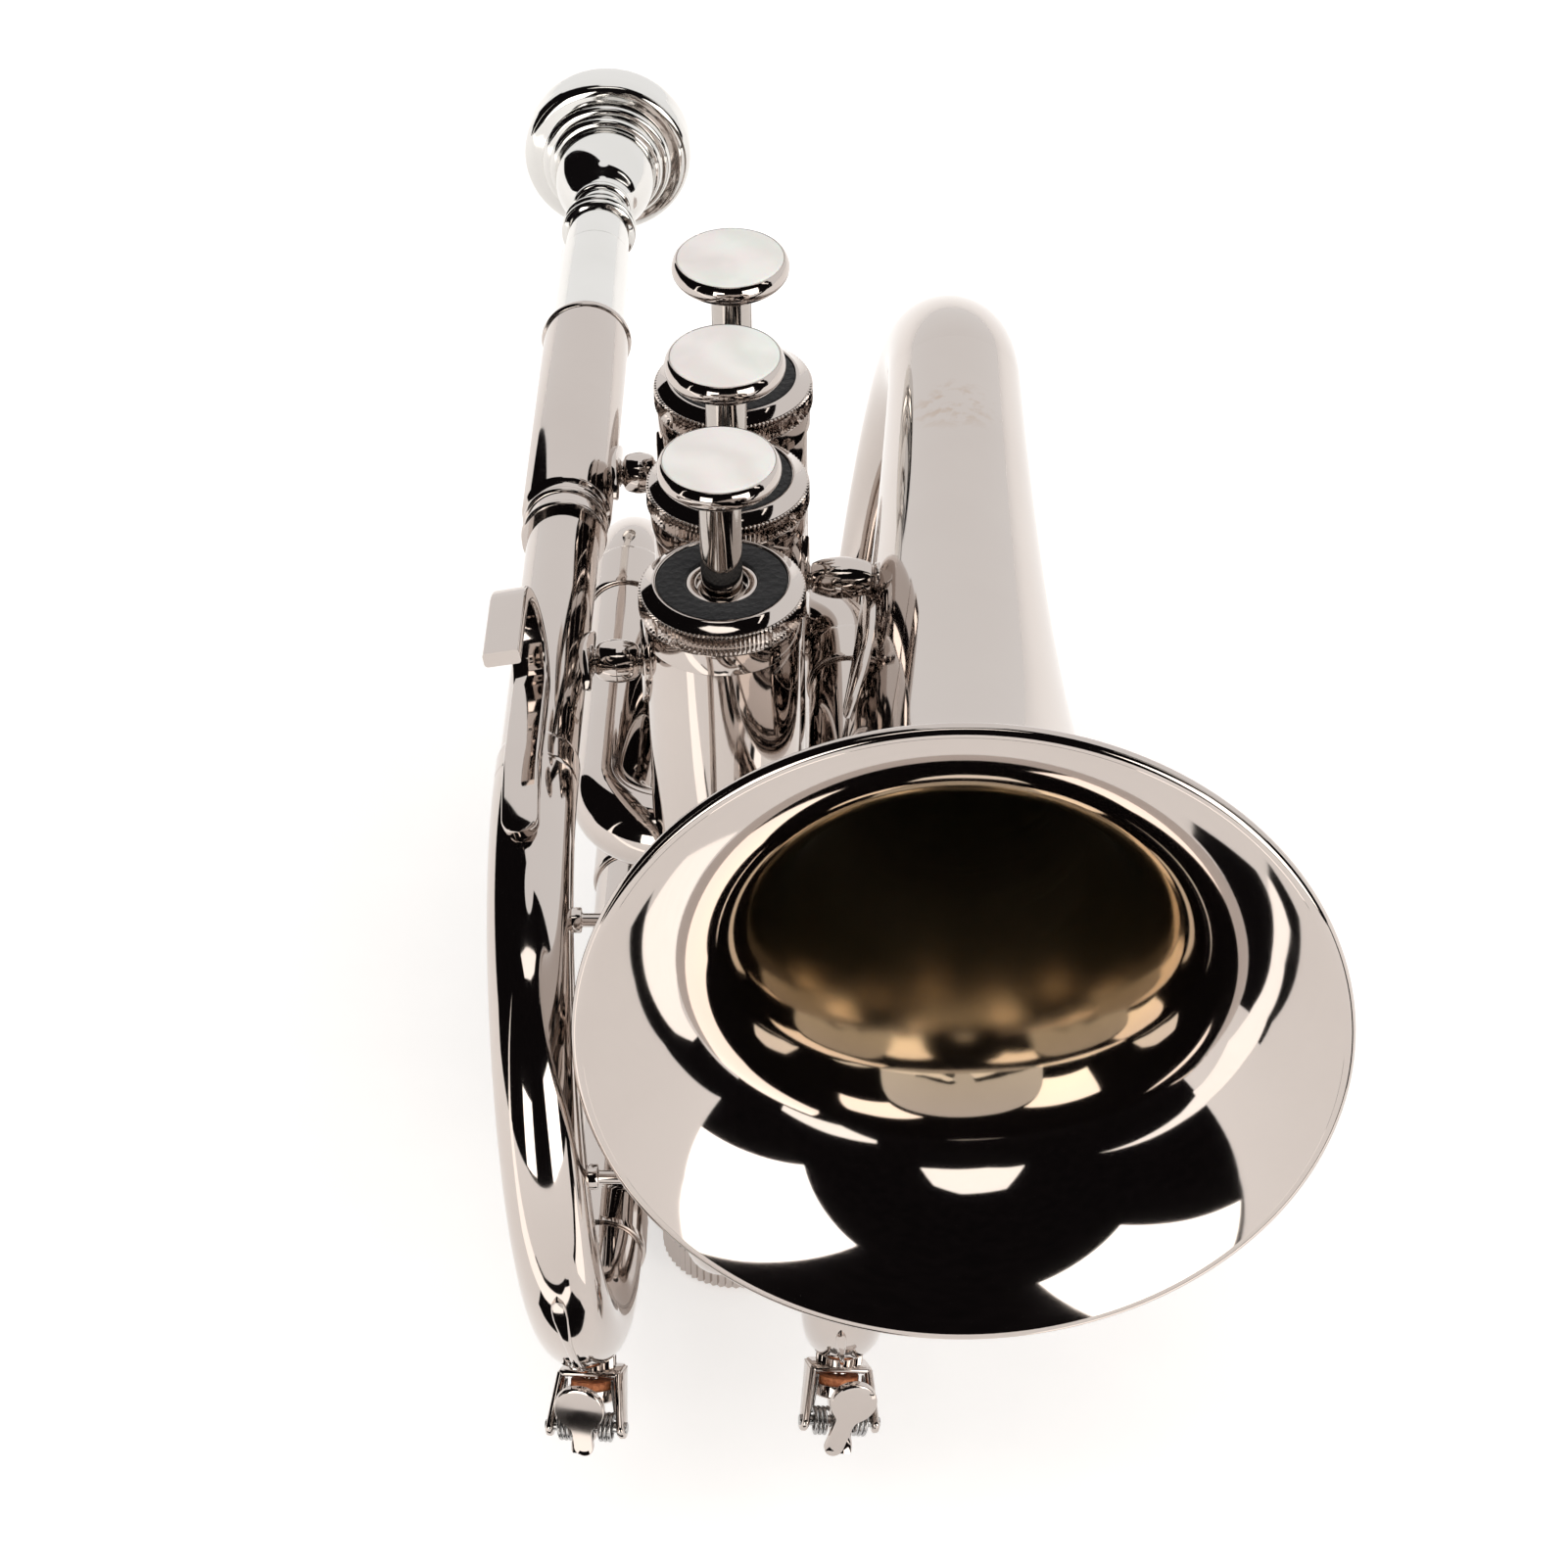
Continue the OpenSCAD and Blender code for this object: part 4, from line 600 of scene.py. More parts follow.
outline = [(3.85, -22), (4.45, -22), (5.0, 0), (5.1, 8.3)]
outline += curve_through([(5.1, 8.45), (5.85, 8.8), (6.0, 9.3), (5.85, 9.75), (5.45, 10.05)])
outline += curve_through([(5.45, 10.15), (5.85, 10.4), (6.0, 10.9), (5.75, 11.4), (5.2, 11.8)])
outline += curve_through([(4.8, 12.0), (4.35, 13.2), (4.17, 14.8), (4.18, 16.4)])
outline += rounded([(4.18, 16.6), (4.85, 16.8), (4.85, 17.8), (4.35, 18.15)], 0.25)[4:-4]
outline += curve_through([(4.35, 18.2), (4.75, 19.2), (6.2, 20.8), (7.35, 23), (8.05, 25.6), (8.35, 28.4),
                          (8.3, 30)])
outline += curve_through([(8.35, 30.1), (9.0, 30.3), (9.38, 31), (9.05, 31.65), (8.85, 31.8)])
outline += curve_through([(9.3, 31.9), (10.25, 32.1), (10.68, 32.8), (10.4, 33.5), (10.3, 33.7)])
outline += curve_through([(11.2, 33.85), (12.6, 34.05), (13.45, 34.6), (13.78, 35.6)])
outline += curve_through([(13.75, 37), (13.75, 39.6), (13.4, 41.1), (12.4, 42.35), (10.8, 42.98), (9.3, 42.9),
                          (8.6, 42.3), (8.3, 41.2)])
outline += curve_through([(8.15, 40), (7.8, 38), (6.9, 34), (5.4, 30), (3.2, 26.5), (2.1, 24.2), (2.0, 22),
                          (2.1, 18)])
outline += [(2.8, 0), (3.6, -20)]
lathe("mouthpiece_body", outline, silver, MOUTH, steps=160, body="mouthpiece", node="mouthpiece")

# ---- Finger hook ----
# A brass strap soldered along the leadpipe and over the start of the bow, then bent up and
# forwards into a flat plate for the right hand's finger.

hook_lean = radians(-10)
HOOK = TUBES @ Matrix.Translation((lead_x, 0, lead_z)) @ Matrix.Rotation(hook_lean, 4, "Y") \
    @ Matrix.Translation((0, 0, -lead_z))


def strap(name, spine, thickness, material, frame_of=TUBES, across=(1, 0, 0), edge=0.45, **words):
    """Bar swept along (point, normal, half width) stations; normal points to its outer face."""
    across = Vector(across)
    rings = []
    half_h = thickness / 2
    corners = []
    for sx, sz in ((1, 1), (-1, 1), (-1, -1), (1, -1)):
        start = atan2(sz, sx) - pi / 4
        for k in range(5):
            corners.append((sx, sz, start + pi / 2 * k / 4))
    for point, normal, half_w in spine:
        point = Vector(point)
        normal = Vector(normal)
        r = min(edge, half_w * 0.9, half_h * 0.95)
        ring = []
        for sx, sz, turn in corners:
            ring.append(point + across * (sx * (half_w - r) + r * cos(turn))
                        + normal * (sz * (half_h - r) + r * sin(turn)))
        rings.append(ring)
    return surface(name, rings, material, frame_of, loop=False, **words)


hook_half = 2.5
hook_h = 2.2
hook_tip_y, hook_back_y = 29, 57
hook_bend_r = 6
hook_r = hook_bend_r + hook_h / 2
strap_z = lead_z + tube_r + 0.15
bow_z = (lead_z + low_z) / 2
bow_r = strap_z - bow_z + hook_h / 2
bow_parts = 40
bend_parts = 32
spine = []
tip_turn = atan2(front_y - hook_tip_y + hook_half, strap_z - bow_z)
for i in range(bow_parts + 1):
    turn = tip_turn * (1 - i / bow_parts)
    from_tip = (tip_turn - turn) * bow_r
    half_w = hook_half * sqrt(1 - max(0, 1 - from_tip / hook_half) ** 2)
    spine.append(((0, front_y - bow_r * sin(turn), bow_z + bow_r * cos(turn)), (0, -sin(turn), cos(turn)),
                  max(half_w, 0.25)))
for y in (47, 50, 54, hook_back_y):
    spine.append(((0, y, strap_z + hook_h / 2), (0, 0, 1), hook_half))
for i in range(1, bend_parts + 1):
    turn = radians(-90 + 180 * i / bend_parts)
    spine.append(((0, hook_back_y + hook_r * cos(turn), strap_z + hook_h + hook_bend_r + hook_r * sin(turn)),
                  (0, -cos(turn), -sin(turn)), hook_half))
for y in (54, 50, 46, 44.01):
    spine.append(((0, y, strap_z + hook_h + 2 * hook_bend_r + hook_h / 2), (0, 0, -1), hook_half))
strap("hook_strap", spine, hook_h, nickel, HOOK, edge=0.5, node="finger_hook")

# ---- Valve casings ----
# Three seamless brass tubes, turned down at both ends for the cap threads, honed inside,
# joined by short knuckles and plated as one block.

VALVES = {1: Matrix.Translation((0, valve_pitch, 0)), 2: ROW, 3: Matrix.Translation((0, -valve_pitch, 0))}
casing_top = 122
cap_seat = 120.2
casing_bore_r = 8.55
neck_r = 10.3
for n in (1, 2, 3):
    outline = rounded([(casing_bore_r, 2.5), (neck_r, 2.5), (neck_r, 7.9), (casing_r, 7.9),
                       (casing_r, cap_seat), (neck_r, cap_seat), (neck_r, casing_top),
                       (casing_bore_r, casing_top)], 0.18)
    lathe("casing_tube_%d" % n, outline, nickel, VALVES[n], node="casing_%d" % n)
for n in (2, 3):
    low = VALVES[n].translation.y + saddle_x - 0.3
    high = VALVES[n - 1].translation.y - saddle_x + 0.3
    pipe_skin("knuckle_%d" % n, straight((0, low, 57), (0, high, 57), tube_r, tube_r, tube_wall), nickel,
              frame_of=ROW, node="knuckles")

# ---- Bottom caps ----
# Turned caps with a straight knurl for the fingers and three vent holes in the face.


def dress(node, material):
    """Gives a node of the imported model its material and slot."""
    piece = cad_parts[node]
    piece.data.materials.clear()
    piece.data.materials.append(material)


dress("bottom_caps", nickel)

# ---- Top caps and felts ----
# Turned caps: plain skirt, a band of straight knurl, a bevel up to a thin rim, and an inner
# collar round the valve stem. A pressed black felt ring lies in the recess between them.

knurl_r = 11.68
knurl_depth = 0.36
root_r = knurl_r - knurl_depth - 0.2
knurl_low = 123.85
knurl_high = 127.15
cap_teeth = 110
felt_floor = 126.8
for n in (1, 2, 3):
    skirt = rounded([(neck_r + 0.05, cap_seat), (root_r + 0.1, cap_seat), (root_r + 0.14, knurl_low - 0.1),
                     (root_r - 0.5, knurl_low - 0.1)], 0.16)[:-5]
    rim = [(root_r - 0.3, knurl_low - 0.1), (root_r - 0.3, knurl_high + 0.05),
           (root_r + 0.08, knurl_high + 0.05), (root_r + 0.12, knurl_high + 0.12), (9.78, 128.3),
           (9.7, 128.42), (9.56, 128.48), (9.36, 128.48), (9.26, 128.42), (9.2, 128.3), (9.2, felt_floor),
           (5.0, felt_floor), (5.0, 127.92), (4.94, 128.02), (4.82, 128.08), (3.78, 128.08), (3.66, 128.02),
           (3.6, 127.92), (3.6, 127.3), (3.5, 127.1), (3.1, 126.9), (2.97, 126.75), (2.97, 124.6),
           (8.2, 124.6), (8.2, casing_top), (neck_r + 0.05, casing_top)]
    lathe("top_cap_%d" % n, skirt + rim, nickel, VALVES[n], steps=160, node="top_caps")
    outline = [(root_r - 0.4, knurl_low), (root_r + 0.2, knurl_low + 0.01), (knurl_r - 0.1, knurl_low + 0.12),
               (knurl_r, knurl_low + 0.3), (knurl_r, knurl_high - 0.3), (knurl_r - 0.1, knurl_high - 0.12),
               (root_r + 0.2, knurl_high - 0.01), (root_r - 0.4, knurl_high)]
    lathe("top_knurl_%d" % n, outline, nickel, VALVES[n], steps=6 * cap_teeth,
          teeth=(cap_teeth, knurl_depth, knurl_low + 0.1, knurl_high - 0.1, root_r), node="top_caps")

# Pressed wool felt: black, no gloss. Its nap catches a little light in tangles 0.4 mm across, as
# the single fibres are too fine to show.
felt, tree = new_material("pressed_black_felt")
where = add(tree, "ShaderNodeTexCoord").outputs["Object"]
nap = add(tree, "ShaderNodeTexNoise", {"Scale": 2600.0, "Detail": 6.0, "Roughness": 0.7}, {"Vector": where})
lint = add(tree, "ShaderNodeTexVoronoi", {"Scale": 900.0}, {"Vector": where})
tone = add(tree, "ShaderNodeValToRGB", links={"Fac": nap}, stops=((0.3, "#0D0D0F"), (0.8, "#232326")))
fuzz = add(tree, "ShaderNodeMath", links={0: nap, 1: lint}, operation="ADD")
nappy = add(tree, "ShaderNodeBump", {"Strength": 0.7, "Distance": 0.0002}, {"Height": fuzz})
shader = add(tree, "ShaderNodeBsdfPrincipled",
             {"Roughness": 0.95, "Sheen Weight": 0.25, "Sheen Roughness": 0.5, "Specular IOR Level": 0.2},
             {"Base Color": tone, "Normal": nappy})
add(tree, "ShaderNodeOutputMaterial", links={"Surface": shader})
for n in (1, 2, 3):
    outline = rounded([(5.06, felt_floor), (9.14, felt_floor), (9.14, 128.35), (5.06, 128.35)], 0.3)
    lathe("felt_ring_%d" % n, outline, felt, VALVES[n], node="cap_felts")

# ---- Pistons and valve springs ----
# Lapped nickel-alloy pistons with three soldered air passages, over coils of spring steel.
# They stay inside the casings; only the stems come out.

# Lapped metal: fine grey, closer to satin than the plate, with the lap's rings drawn 0.7 mm apart,
# coarser than the real ones, so that they show.
lapped, tree = new_material("lapped_nickel_alloy")
where = add(tree, "ShaderNodeTexCoord").outputs["Object"]
parted = add(tree, "ShaderNodeSeparateXYZ", links={"Vector": where})
rows = add(tree, "ShaderNodeCombineXYZ", links={"Z": parted.outputs["Z"]})
lap = add(tree, "ShaderNodeTexNoise", {"Scale": 1500.0, "Detail": 2.0}, {"Vector": rows})
tone = add(tree, "ShaderNodeValToRGB", links={"Fac": lap}, stops=((0, "#B3ABA5"), (1, "#C2BBB5")))
satin = add(tree, "ShaderNodeMapRange", {"To Min": 0.05, "To Max": 0.11}, {"Value": lap})
shader = add(tree, "ShaderNodeBsdfPrincipled", {"Metallic": 1.0}, {"Base Color": tone, "Roughness": satin})
add(tree, "ShaderNodeOutputMaterial", links={"Surface": shader})

# Drawn spring wire: bright grey steel, faintly streaked by the die at just under a millimetre.
spring_steel, tree = new_material("drawn_spring_steel")
where = add(tree, "ShaderNodeTexCoord").outputs["Object"]
streak = add(tree, "ShaderNodeTexNoise", {"Scale": 1200.0, "Detail": 3.0}, {"Vector": where})
tone = add(tree, "ShaderNodeValToRGB", links={"Fac": streak}, stops=((0, "#A9A8A8"), (1, "#C4C3C2")))
shader = add(tree, "ShaderNodeBsdfPrincipled", {"Metallic": 1.0, "Roughness": 0.22}, {"Base Color": tone})
add(tree, "ShaderNodeOutputMaterial", links={"Surface": shader})
for n in (1, 2, 3):
    dress("piston_%d" % n, lapped)
    dress("valve_spring_%d" % n, spring_steel)

# ---- Stems, buttons and pearls ----
# A turned rod screws into each piston and carries a nickel-plated cup. A disc of
# mother-of-pearl is cemented in the cup for the fingertip.

piston_top = 112
stem_r = 2.9
stem_top = 143.7
button_low = 144.7
pearl_floor = 147.6
for n in (1, 2, 3):
    outline = rounded([(0, piston_top), (5, piston_top), (5, 113.6), (stem_r, 114.2), (stem_r, 121.2),
                       (7.2, 121.2), (7.2, 124.3), (stem_r, 124.3), (stem_r, stem_top), (0, stem_top)], 0.12)
    lathe("stem_rod_%d" % n, outline, lapped, VALVES[n], steps=64, body="valve_%d" % n,
          node="stem_%d" % n)
    outline = [(0, stem_top), (3.8, stem_top), (3.9, 143.75), (4.0, 143.85), (4.0, 144.6), (4.15, button_low)]
    outline += curve_through([(5.2, button_low), (6.6, 145.0), (7.7, 145.6), (8.32, 146.35), (8.53, 147.05),
                              (8.46, 147.75), (8.22, 148.35), (7.97, 148.7)])
    outline += [(7.9, 148.78), (7.82, 148.8), (7.76, 148.72), (7.74, pearl_floor), (0, pearl_floor)]
    lathe("button_cup_%d" % n, outline, nickel, VALVES[n], body="valve_%d" % n, node="button_%d" % n)

# Mother-of-pearl: off-white shell in wavy sheets 14 mm apart, which turn faintly pink and green.
nacre, tree = new_material("mother_of_pearl")
where = add(tree, "ShaderNodeTexCoord").outputs["Object"]
drift = add(tree, "ShaderNodeTexNoise", {"Scale": 60.0, "Detail": 3.0, "Distortion": 0.8},
            {"Vector": where})
layers = add(tree, "ShaderNodeTexWave",
             {"Scale": 45.0, "Distortion": 6.0, "Detail": 3.0, "Detail Scale": 1.5}, {"Vector": where},
             bands_direction="DIAGONAL")
tone = add(tree, "ShaderNodeValToRGB", links={"Fac": drift},
           stops=((0.25, "#E3E0DD"), (0.8, "#F7F5F2"), (0.45, "#EFE8E6"), (0.62, "#EBEEE9")))
sheet_tone = add(tree, "ShaderNodeValToRGB", links={"Fac": layers.outputs["Fac"]},
                 stops=((0, "#EAE8E5"), (1, "#FDFCFB")))
shell = add(tree, "ShaderNodeMix", {"Factor": 0.6}, {"A": tone, "B": sheet_tone}, data_type="RGBA",
            blend_type="MULTIPLY")
shader = add(tree, "ShaderNodeBsdfPrincipled",
             {"Roughness": 0.28, "Coat Weight": 0.6, "Coat Roughness": 0.06, "Subsurface Weight": 0.15,
              "Subsurface Scale": 0.001},
             {"Base Color": shell.outputs["Result"]})
add(tree, "ShaderNodeOutputMaterial", links={"Surface": shader})
for n in (1, 2, 3):
    outline = [(0, pearl_floor), (7.75, pearl_floor), (7.75, 148.72), (7.7, 148.82), (7.55, 148.92),
               (7.2, 148.97), (0, 149.0)]
    lathe("pearl_disc_%d" % n, outline, nacre, VALVES[n], body="valve_%d" % n, node="pearl_%d" % n)

# ---- Valve slides ----
# Each valve has a U of thin tube that pulls out of two outer legs, for tuning and to drain it.
# The first points back, the second right and the third forwards.

# Valve to (frame along the slide, the outer legs' reach, upper and lower leg's height).
SLIDES = {
    1: (VALVES[1] @ Matrix.Rotation(radians(90), 4, "Z"), 45, 70, 44),
    2: (ROW, 24, 67, 45),
    3: (VALVES[3] @ Matrix.Rotation(radians(-90), 4, "Z"), 33, 70, 44),
}
slide_r = 5.2
slide_start = 11.8
stop_gap, stop_length = 0.3, 5
bow_parts = 48
inner_x = saddle_x - 0.3
for n, (place, reach, upper_z, lower_z) in SLIDES.items():
    bow_x = reach + stop_gap + stop_length
    for side, z in (("upper", upper_z), ("lower", lower_z)):
        outline = rounded([(slide_r + 0.05, inner_x), (tube_r, inner_x), (tube_r, reach),
                           (slide_r + 0.05, reach)], 0.2)
        along_x = place @ Matrix.Translation((0, 0, z)) @ Matrix.Rotation(radians(90), 4, "Y")
        lathe("slide_%d_leg_%s" % (n, side), outline, nickel, along_x, steps=72,
              node="slide_legs_%d" % n)
        ring = rounded([(slide_r - 0.4, reach + stop_gap), (tube_r, reach + stop_gap), (tube_r, bow_x),
                        (slide_r - 0.4, bow_x)], 0.3)
        lathe("slide_%d_stop_%s" % (n, side), ring, nickel, along_x, steps=72, body="slide_%d" % n,
              node="valve_slide_%d" % n)
    middle = Vector((bow_x, 0, (upper_z + lower_z) / 2))
    bend_r = (upper_z - lower_z) / 2
    route = [(Vector((slide_start, 0, upper_z)), Vector((0, 0, 1)))]
    for i in range(bow_parts + 1):
        turn = pi * i / bow_parts
        spoke = Vector((sin(turn), 0, cos(turn)))
        route.append((middle + spoke * bend_r, spoke))
    route.append((Vector((slide_start, 0, lower_z)), Vector((0, 0, -1))))
    stations = [(point, spoke, Vector((0, 1, 0)), slide_r, slide_r - tube_wall) for point, spoke in route]
    pipe_skin("slide_%d_bow" % n, stations, nickel, frame_of=place, sides=48, body="slide_%d" % n,
              node="valve_slide_%d" % n)

# ---- Braces and stays ----
# Turned spindles hold the valves between the leadpipe and the bell; their feet are thin
# leaf-shaped plates soldered to each tube. Two plain rods stay the bell to the left bow.


def leaf_edge(length, width, parts=28):
    """Outline of a leaf, pointed at both ends, standing along its second axis."""
    arc_r = (length ** 2 + width ** 2) / (4 * width)
    points = []
    for side in (1, -1):
        for i in range(parts):
            v = side * (-length / 2 + length * i / parts)
            points.append((side * (sqrt(arc_r ** 2 - v * v) - arc_r + width / 2), v))
    return points


def pad(name, edge, thickness, bend, material, bevel=0.25, **words):
    """Thin plate laid on a surface: bend turns (across, along, height) into a point."""
    rings = []
    middle = Vector((sum(p[0] for p in edge) / len(edge), sum(p[1] for p in edge) / len(edge)))
    steps = [(1.0, -0.25), (1.0, thickness - bevel), (0.985, thickness - bevel * 0.35), (0.955, thickness)]
    steps += [(share, thickness) for share in (0.8, 0.6, 0.4, 0.2, 0.02)]
    for share, height in steps:
        rings.append([bend(middle.x + (p[0] - middle.x) * share, middle.y + (p[1] - middle.y) * share, height)
                      for p in edge])
    return surface(name, rings, material, loop=False, **words)


def spindle(name, start, length, node):
    """Turned brace along +X: a foot, a groove and a swelling barrel, the same from both ends."""
    half = length / 2
    rise = [(0, 0), (2.2, 0), (2.3, 0.12), (2.3, 0.5), (2.15, 0.72), (1.75, 0.9)]
    rise += curve_through([(1.7, 1.05), (2.1, 1.25), (2.62, 0.45 * half), (2.95, 0.72 * half), (3.1, half)])
    outline = rise + [(r, length - h) for r, h in reversed(rise[:-1])]
    lathe(name, outline, nickel, Matrix.Translation(start) @ Matrix.Rotation(radians(90), 4, "Y"), steps=72,
          node=node)


def tube_y(y, z):
    """Where a height in the tube frame passes a valve: (distance along the tubes, row height)."""
    along = (y - mouth[1] - z * sin(tube_tilt)) / cos(tube_tilt)
    return along, mouth[2] - along * sin(tube_tilt) + z * cos(tube_tilt)


for n, pipe_r in ((3, lead_r), (1, sleeve_r)):
    valve_at = VALVES[n].translation.y
    along, brace_z = tube_y(valve_at, lead_z)
    start = lead_x + mouth[0] + pipe_r
    spindle("left_spindle_%d" % n, (start, valve_at, brace_z), -casing_r - start, "left_braces")
    pad("left_casing_foot_%d" % n, leaf_edge(15, 7), 0.8,
        lambda u, v, h: (-(casing_r + h) * cos(u / casing_r), valve_at + (casing_r + h) * sin(u / casing_r),
                         brace_z + v),
        nickel, frame_of=ROW, node="left_braces")
    pad("left_pipe_foot_%d" % n, leaf_edge(14, 6), 0.8,
        lambda u, v, h: (lead_x + (pipe_r + h) * cos(u / pipe_r), along + v,
                         lead_z + (pipe_r + h) * sin(u / pipe_r)),
        nickel, node="left_braces")
right_z = 7.5
along, brace_z = tube_y(0, right_z)
bell_side = mouth[0] - sqrt(bell_r(along) ** 2 - right_z ** 2)
spindle("right_spindle", (casing_r, 0, brace_z), bell_side - casing_r, "right_brace")
pad("right_casing_foot", leaf_edge(15, 7), 0.8,
    lambda u, v, h: ((casing_r + h) * cos(u / casing_r), (casing_r + h) * sin(u / casing_r), brace_z + v),
    nickel, frame_of=ROW, node="right_brace")

foot_y, foot_z = 89.5, 3.5
foot_turn = radians(8)


def on_bell(u, v, h):
    """Leaf on the bell's left side: u round the bell, v along it, h off its skin."""
    y = foot_y + v * cos(foot_turn) + u * sin(foot_turn)
    z = foot_z + u * cos(foot_turn) - v * sin(foot_turn)
    r = bell_r(y) + h + 0.1
    return (-sqrt(max(r * r - z * z, 1)), y, z)


pad("bell_foot", leaf_edge(50, 9, 48), 0.7, on_bell, nickel, node="right_brace")

# Each stay starts on the left bow, which leans, and its flared foot follows the bell's skin.
lean = atan2(lead_x - low_x, lead_z - low_z)
stay_sides = 48
for i, (y, z) in enumerate(((22, 4), (4, -25))):
    start = low_x + (z - low_z) * sin(lean) / cos(lean) + tube_r / cos(lean) - 0.3
    end = -sqrt(bell_r(y) ** 2 - z * z)
    length = end - start
    outline = [(0, 0), (1.6, 0), (1.7, 0.12), (1.7, 1.2), (1.6, 1.36), (1.0, 1.45), (0.9, 1.6),
               (0.9, length - 1.2), (1.1, length - 0.5), (1.5, length), (1.5, length + 0.4),
               (0, length + 0.4)]
    rings = []
    for k in range(stay_sides):
        turn = 2 * pi * k / stay_sides
        ring = []
        for r, h in outline:
            py = y + r * cos(turn)
            pz = z + r * sin(turn)
            if h > length - 1.3:
                h += -sqrt(bell_r(py) ** 2 - pz * pz) - end - 0.05
            ring.append((start + h, py, pz))
        rings.append(ring)
    surface("bell_stay_%d" % (i + 1), rings, nickel, node="bell_stays")

# ---- Water keys ----
# A drain in each front bow: a soldered saddle with a serrated collar and two arms, a sprung
# lever on a pin, and a cork pad that closes the nipple. The thumb presses the plate.

# Pressed cork: orange-brown grains 0.7 mm across with darker bark between them, dry and rough.
cork, tree = new_material("pressed_cork")
where = add(tree, "ShaderNodeTexCoord").outputs["Object"]
grain = add(tree, "ShaderNodeTexVoronoi", {"Scale": 1500.0}, {"Vector": where})
bark = add(tree, "ShaderNodeTexNoise", {"Scale": 2200.0, "Detail": 4.0}, {"Vector": where})
blend_of = add(tree, "ShaderNodeMix", {"Factor": 0.5}, {"A": grain.outputs["Color"], "B": bark},
               data_type="RGBA")
tone = add(tree, "ShaderNodeValToRGB", links={"Fac": blend_of.outputs["Result"]},
           stops=((0.25, "#8E4A28"), (0.7, "#CE8354")))
pitted = add(tree, "ShaderNodeBump", {"Strength": 0.5, "Distance": 0.0002}, {"Height": bark})
shader = add(tree, "ShaderNodeBsdfPrincipled", {"Roughness": 0.75}, {"Base Color": tone, "Normal": pitted})
add(tree, "ShaderNodeOutputMaterial", links={"Surface": shader})


def slab(name, edge, low, high, material, frame_of, bevel=0.18, **words):
    """Flat plate from low to high along the frame's Z, its outline's edges bevelled."""
    count = len(edge)
    drawn_in = []
    for i, corner in enumerate(edge):
        here = Vector(corner)
        before = (here - Vector(edge[i - 1])).normalized()
        after = (Vector(edge[(i + 1) % count]) - here).normalized()
        inward = Vector((-(before + after).y, (before + after).x)).normalized()
        drawn_in.append(here + inward * bevel)
    rings = [[(p[0], p[1], low) for p in drawn_in], [(p[0], p[1], low + bevel) for p in edge],
             [(p[0], p[1], high - bevel) for p in edge], [(p[0], p[1], high) for p in drawn_in]]
    return surface(name, rings, material, frame_of, loop=False, crease=50, **words)


def wire(name, points, radius, material, frame_of, sides=14, **words):
    """Round wire along points, with rounded ends."""
    points = [Vector(p) for p in points]
    first = (points[1] - points[0]).normalized()
    across = first.orthogonal().normalized()
    rings = []
    last = len(points) - 1
    for i, point in enumerate(points):
        along = (points[min(i + 1, last)] - points[max(i - 1, 0)]).normalized()
        across = (across - along * across.dot(along)).normalized()
        second = along.cross(across)
        size = radius * (0.6 if i in (0, last) else 1)
        rings.append([point + (across * cos(2 * pi * k / sides) + second * sin(2 * pi * k / sides)) * size
                      for k in range(sides)])
    return surface(name, rings, material, frame_of, loop=False, **words)


key_down = radians(-27)
hinge_y, hinge_z = -4, -9
hinge_half = 5.95


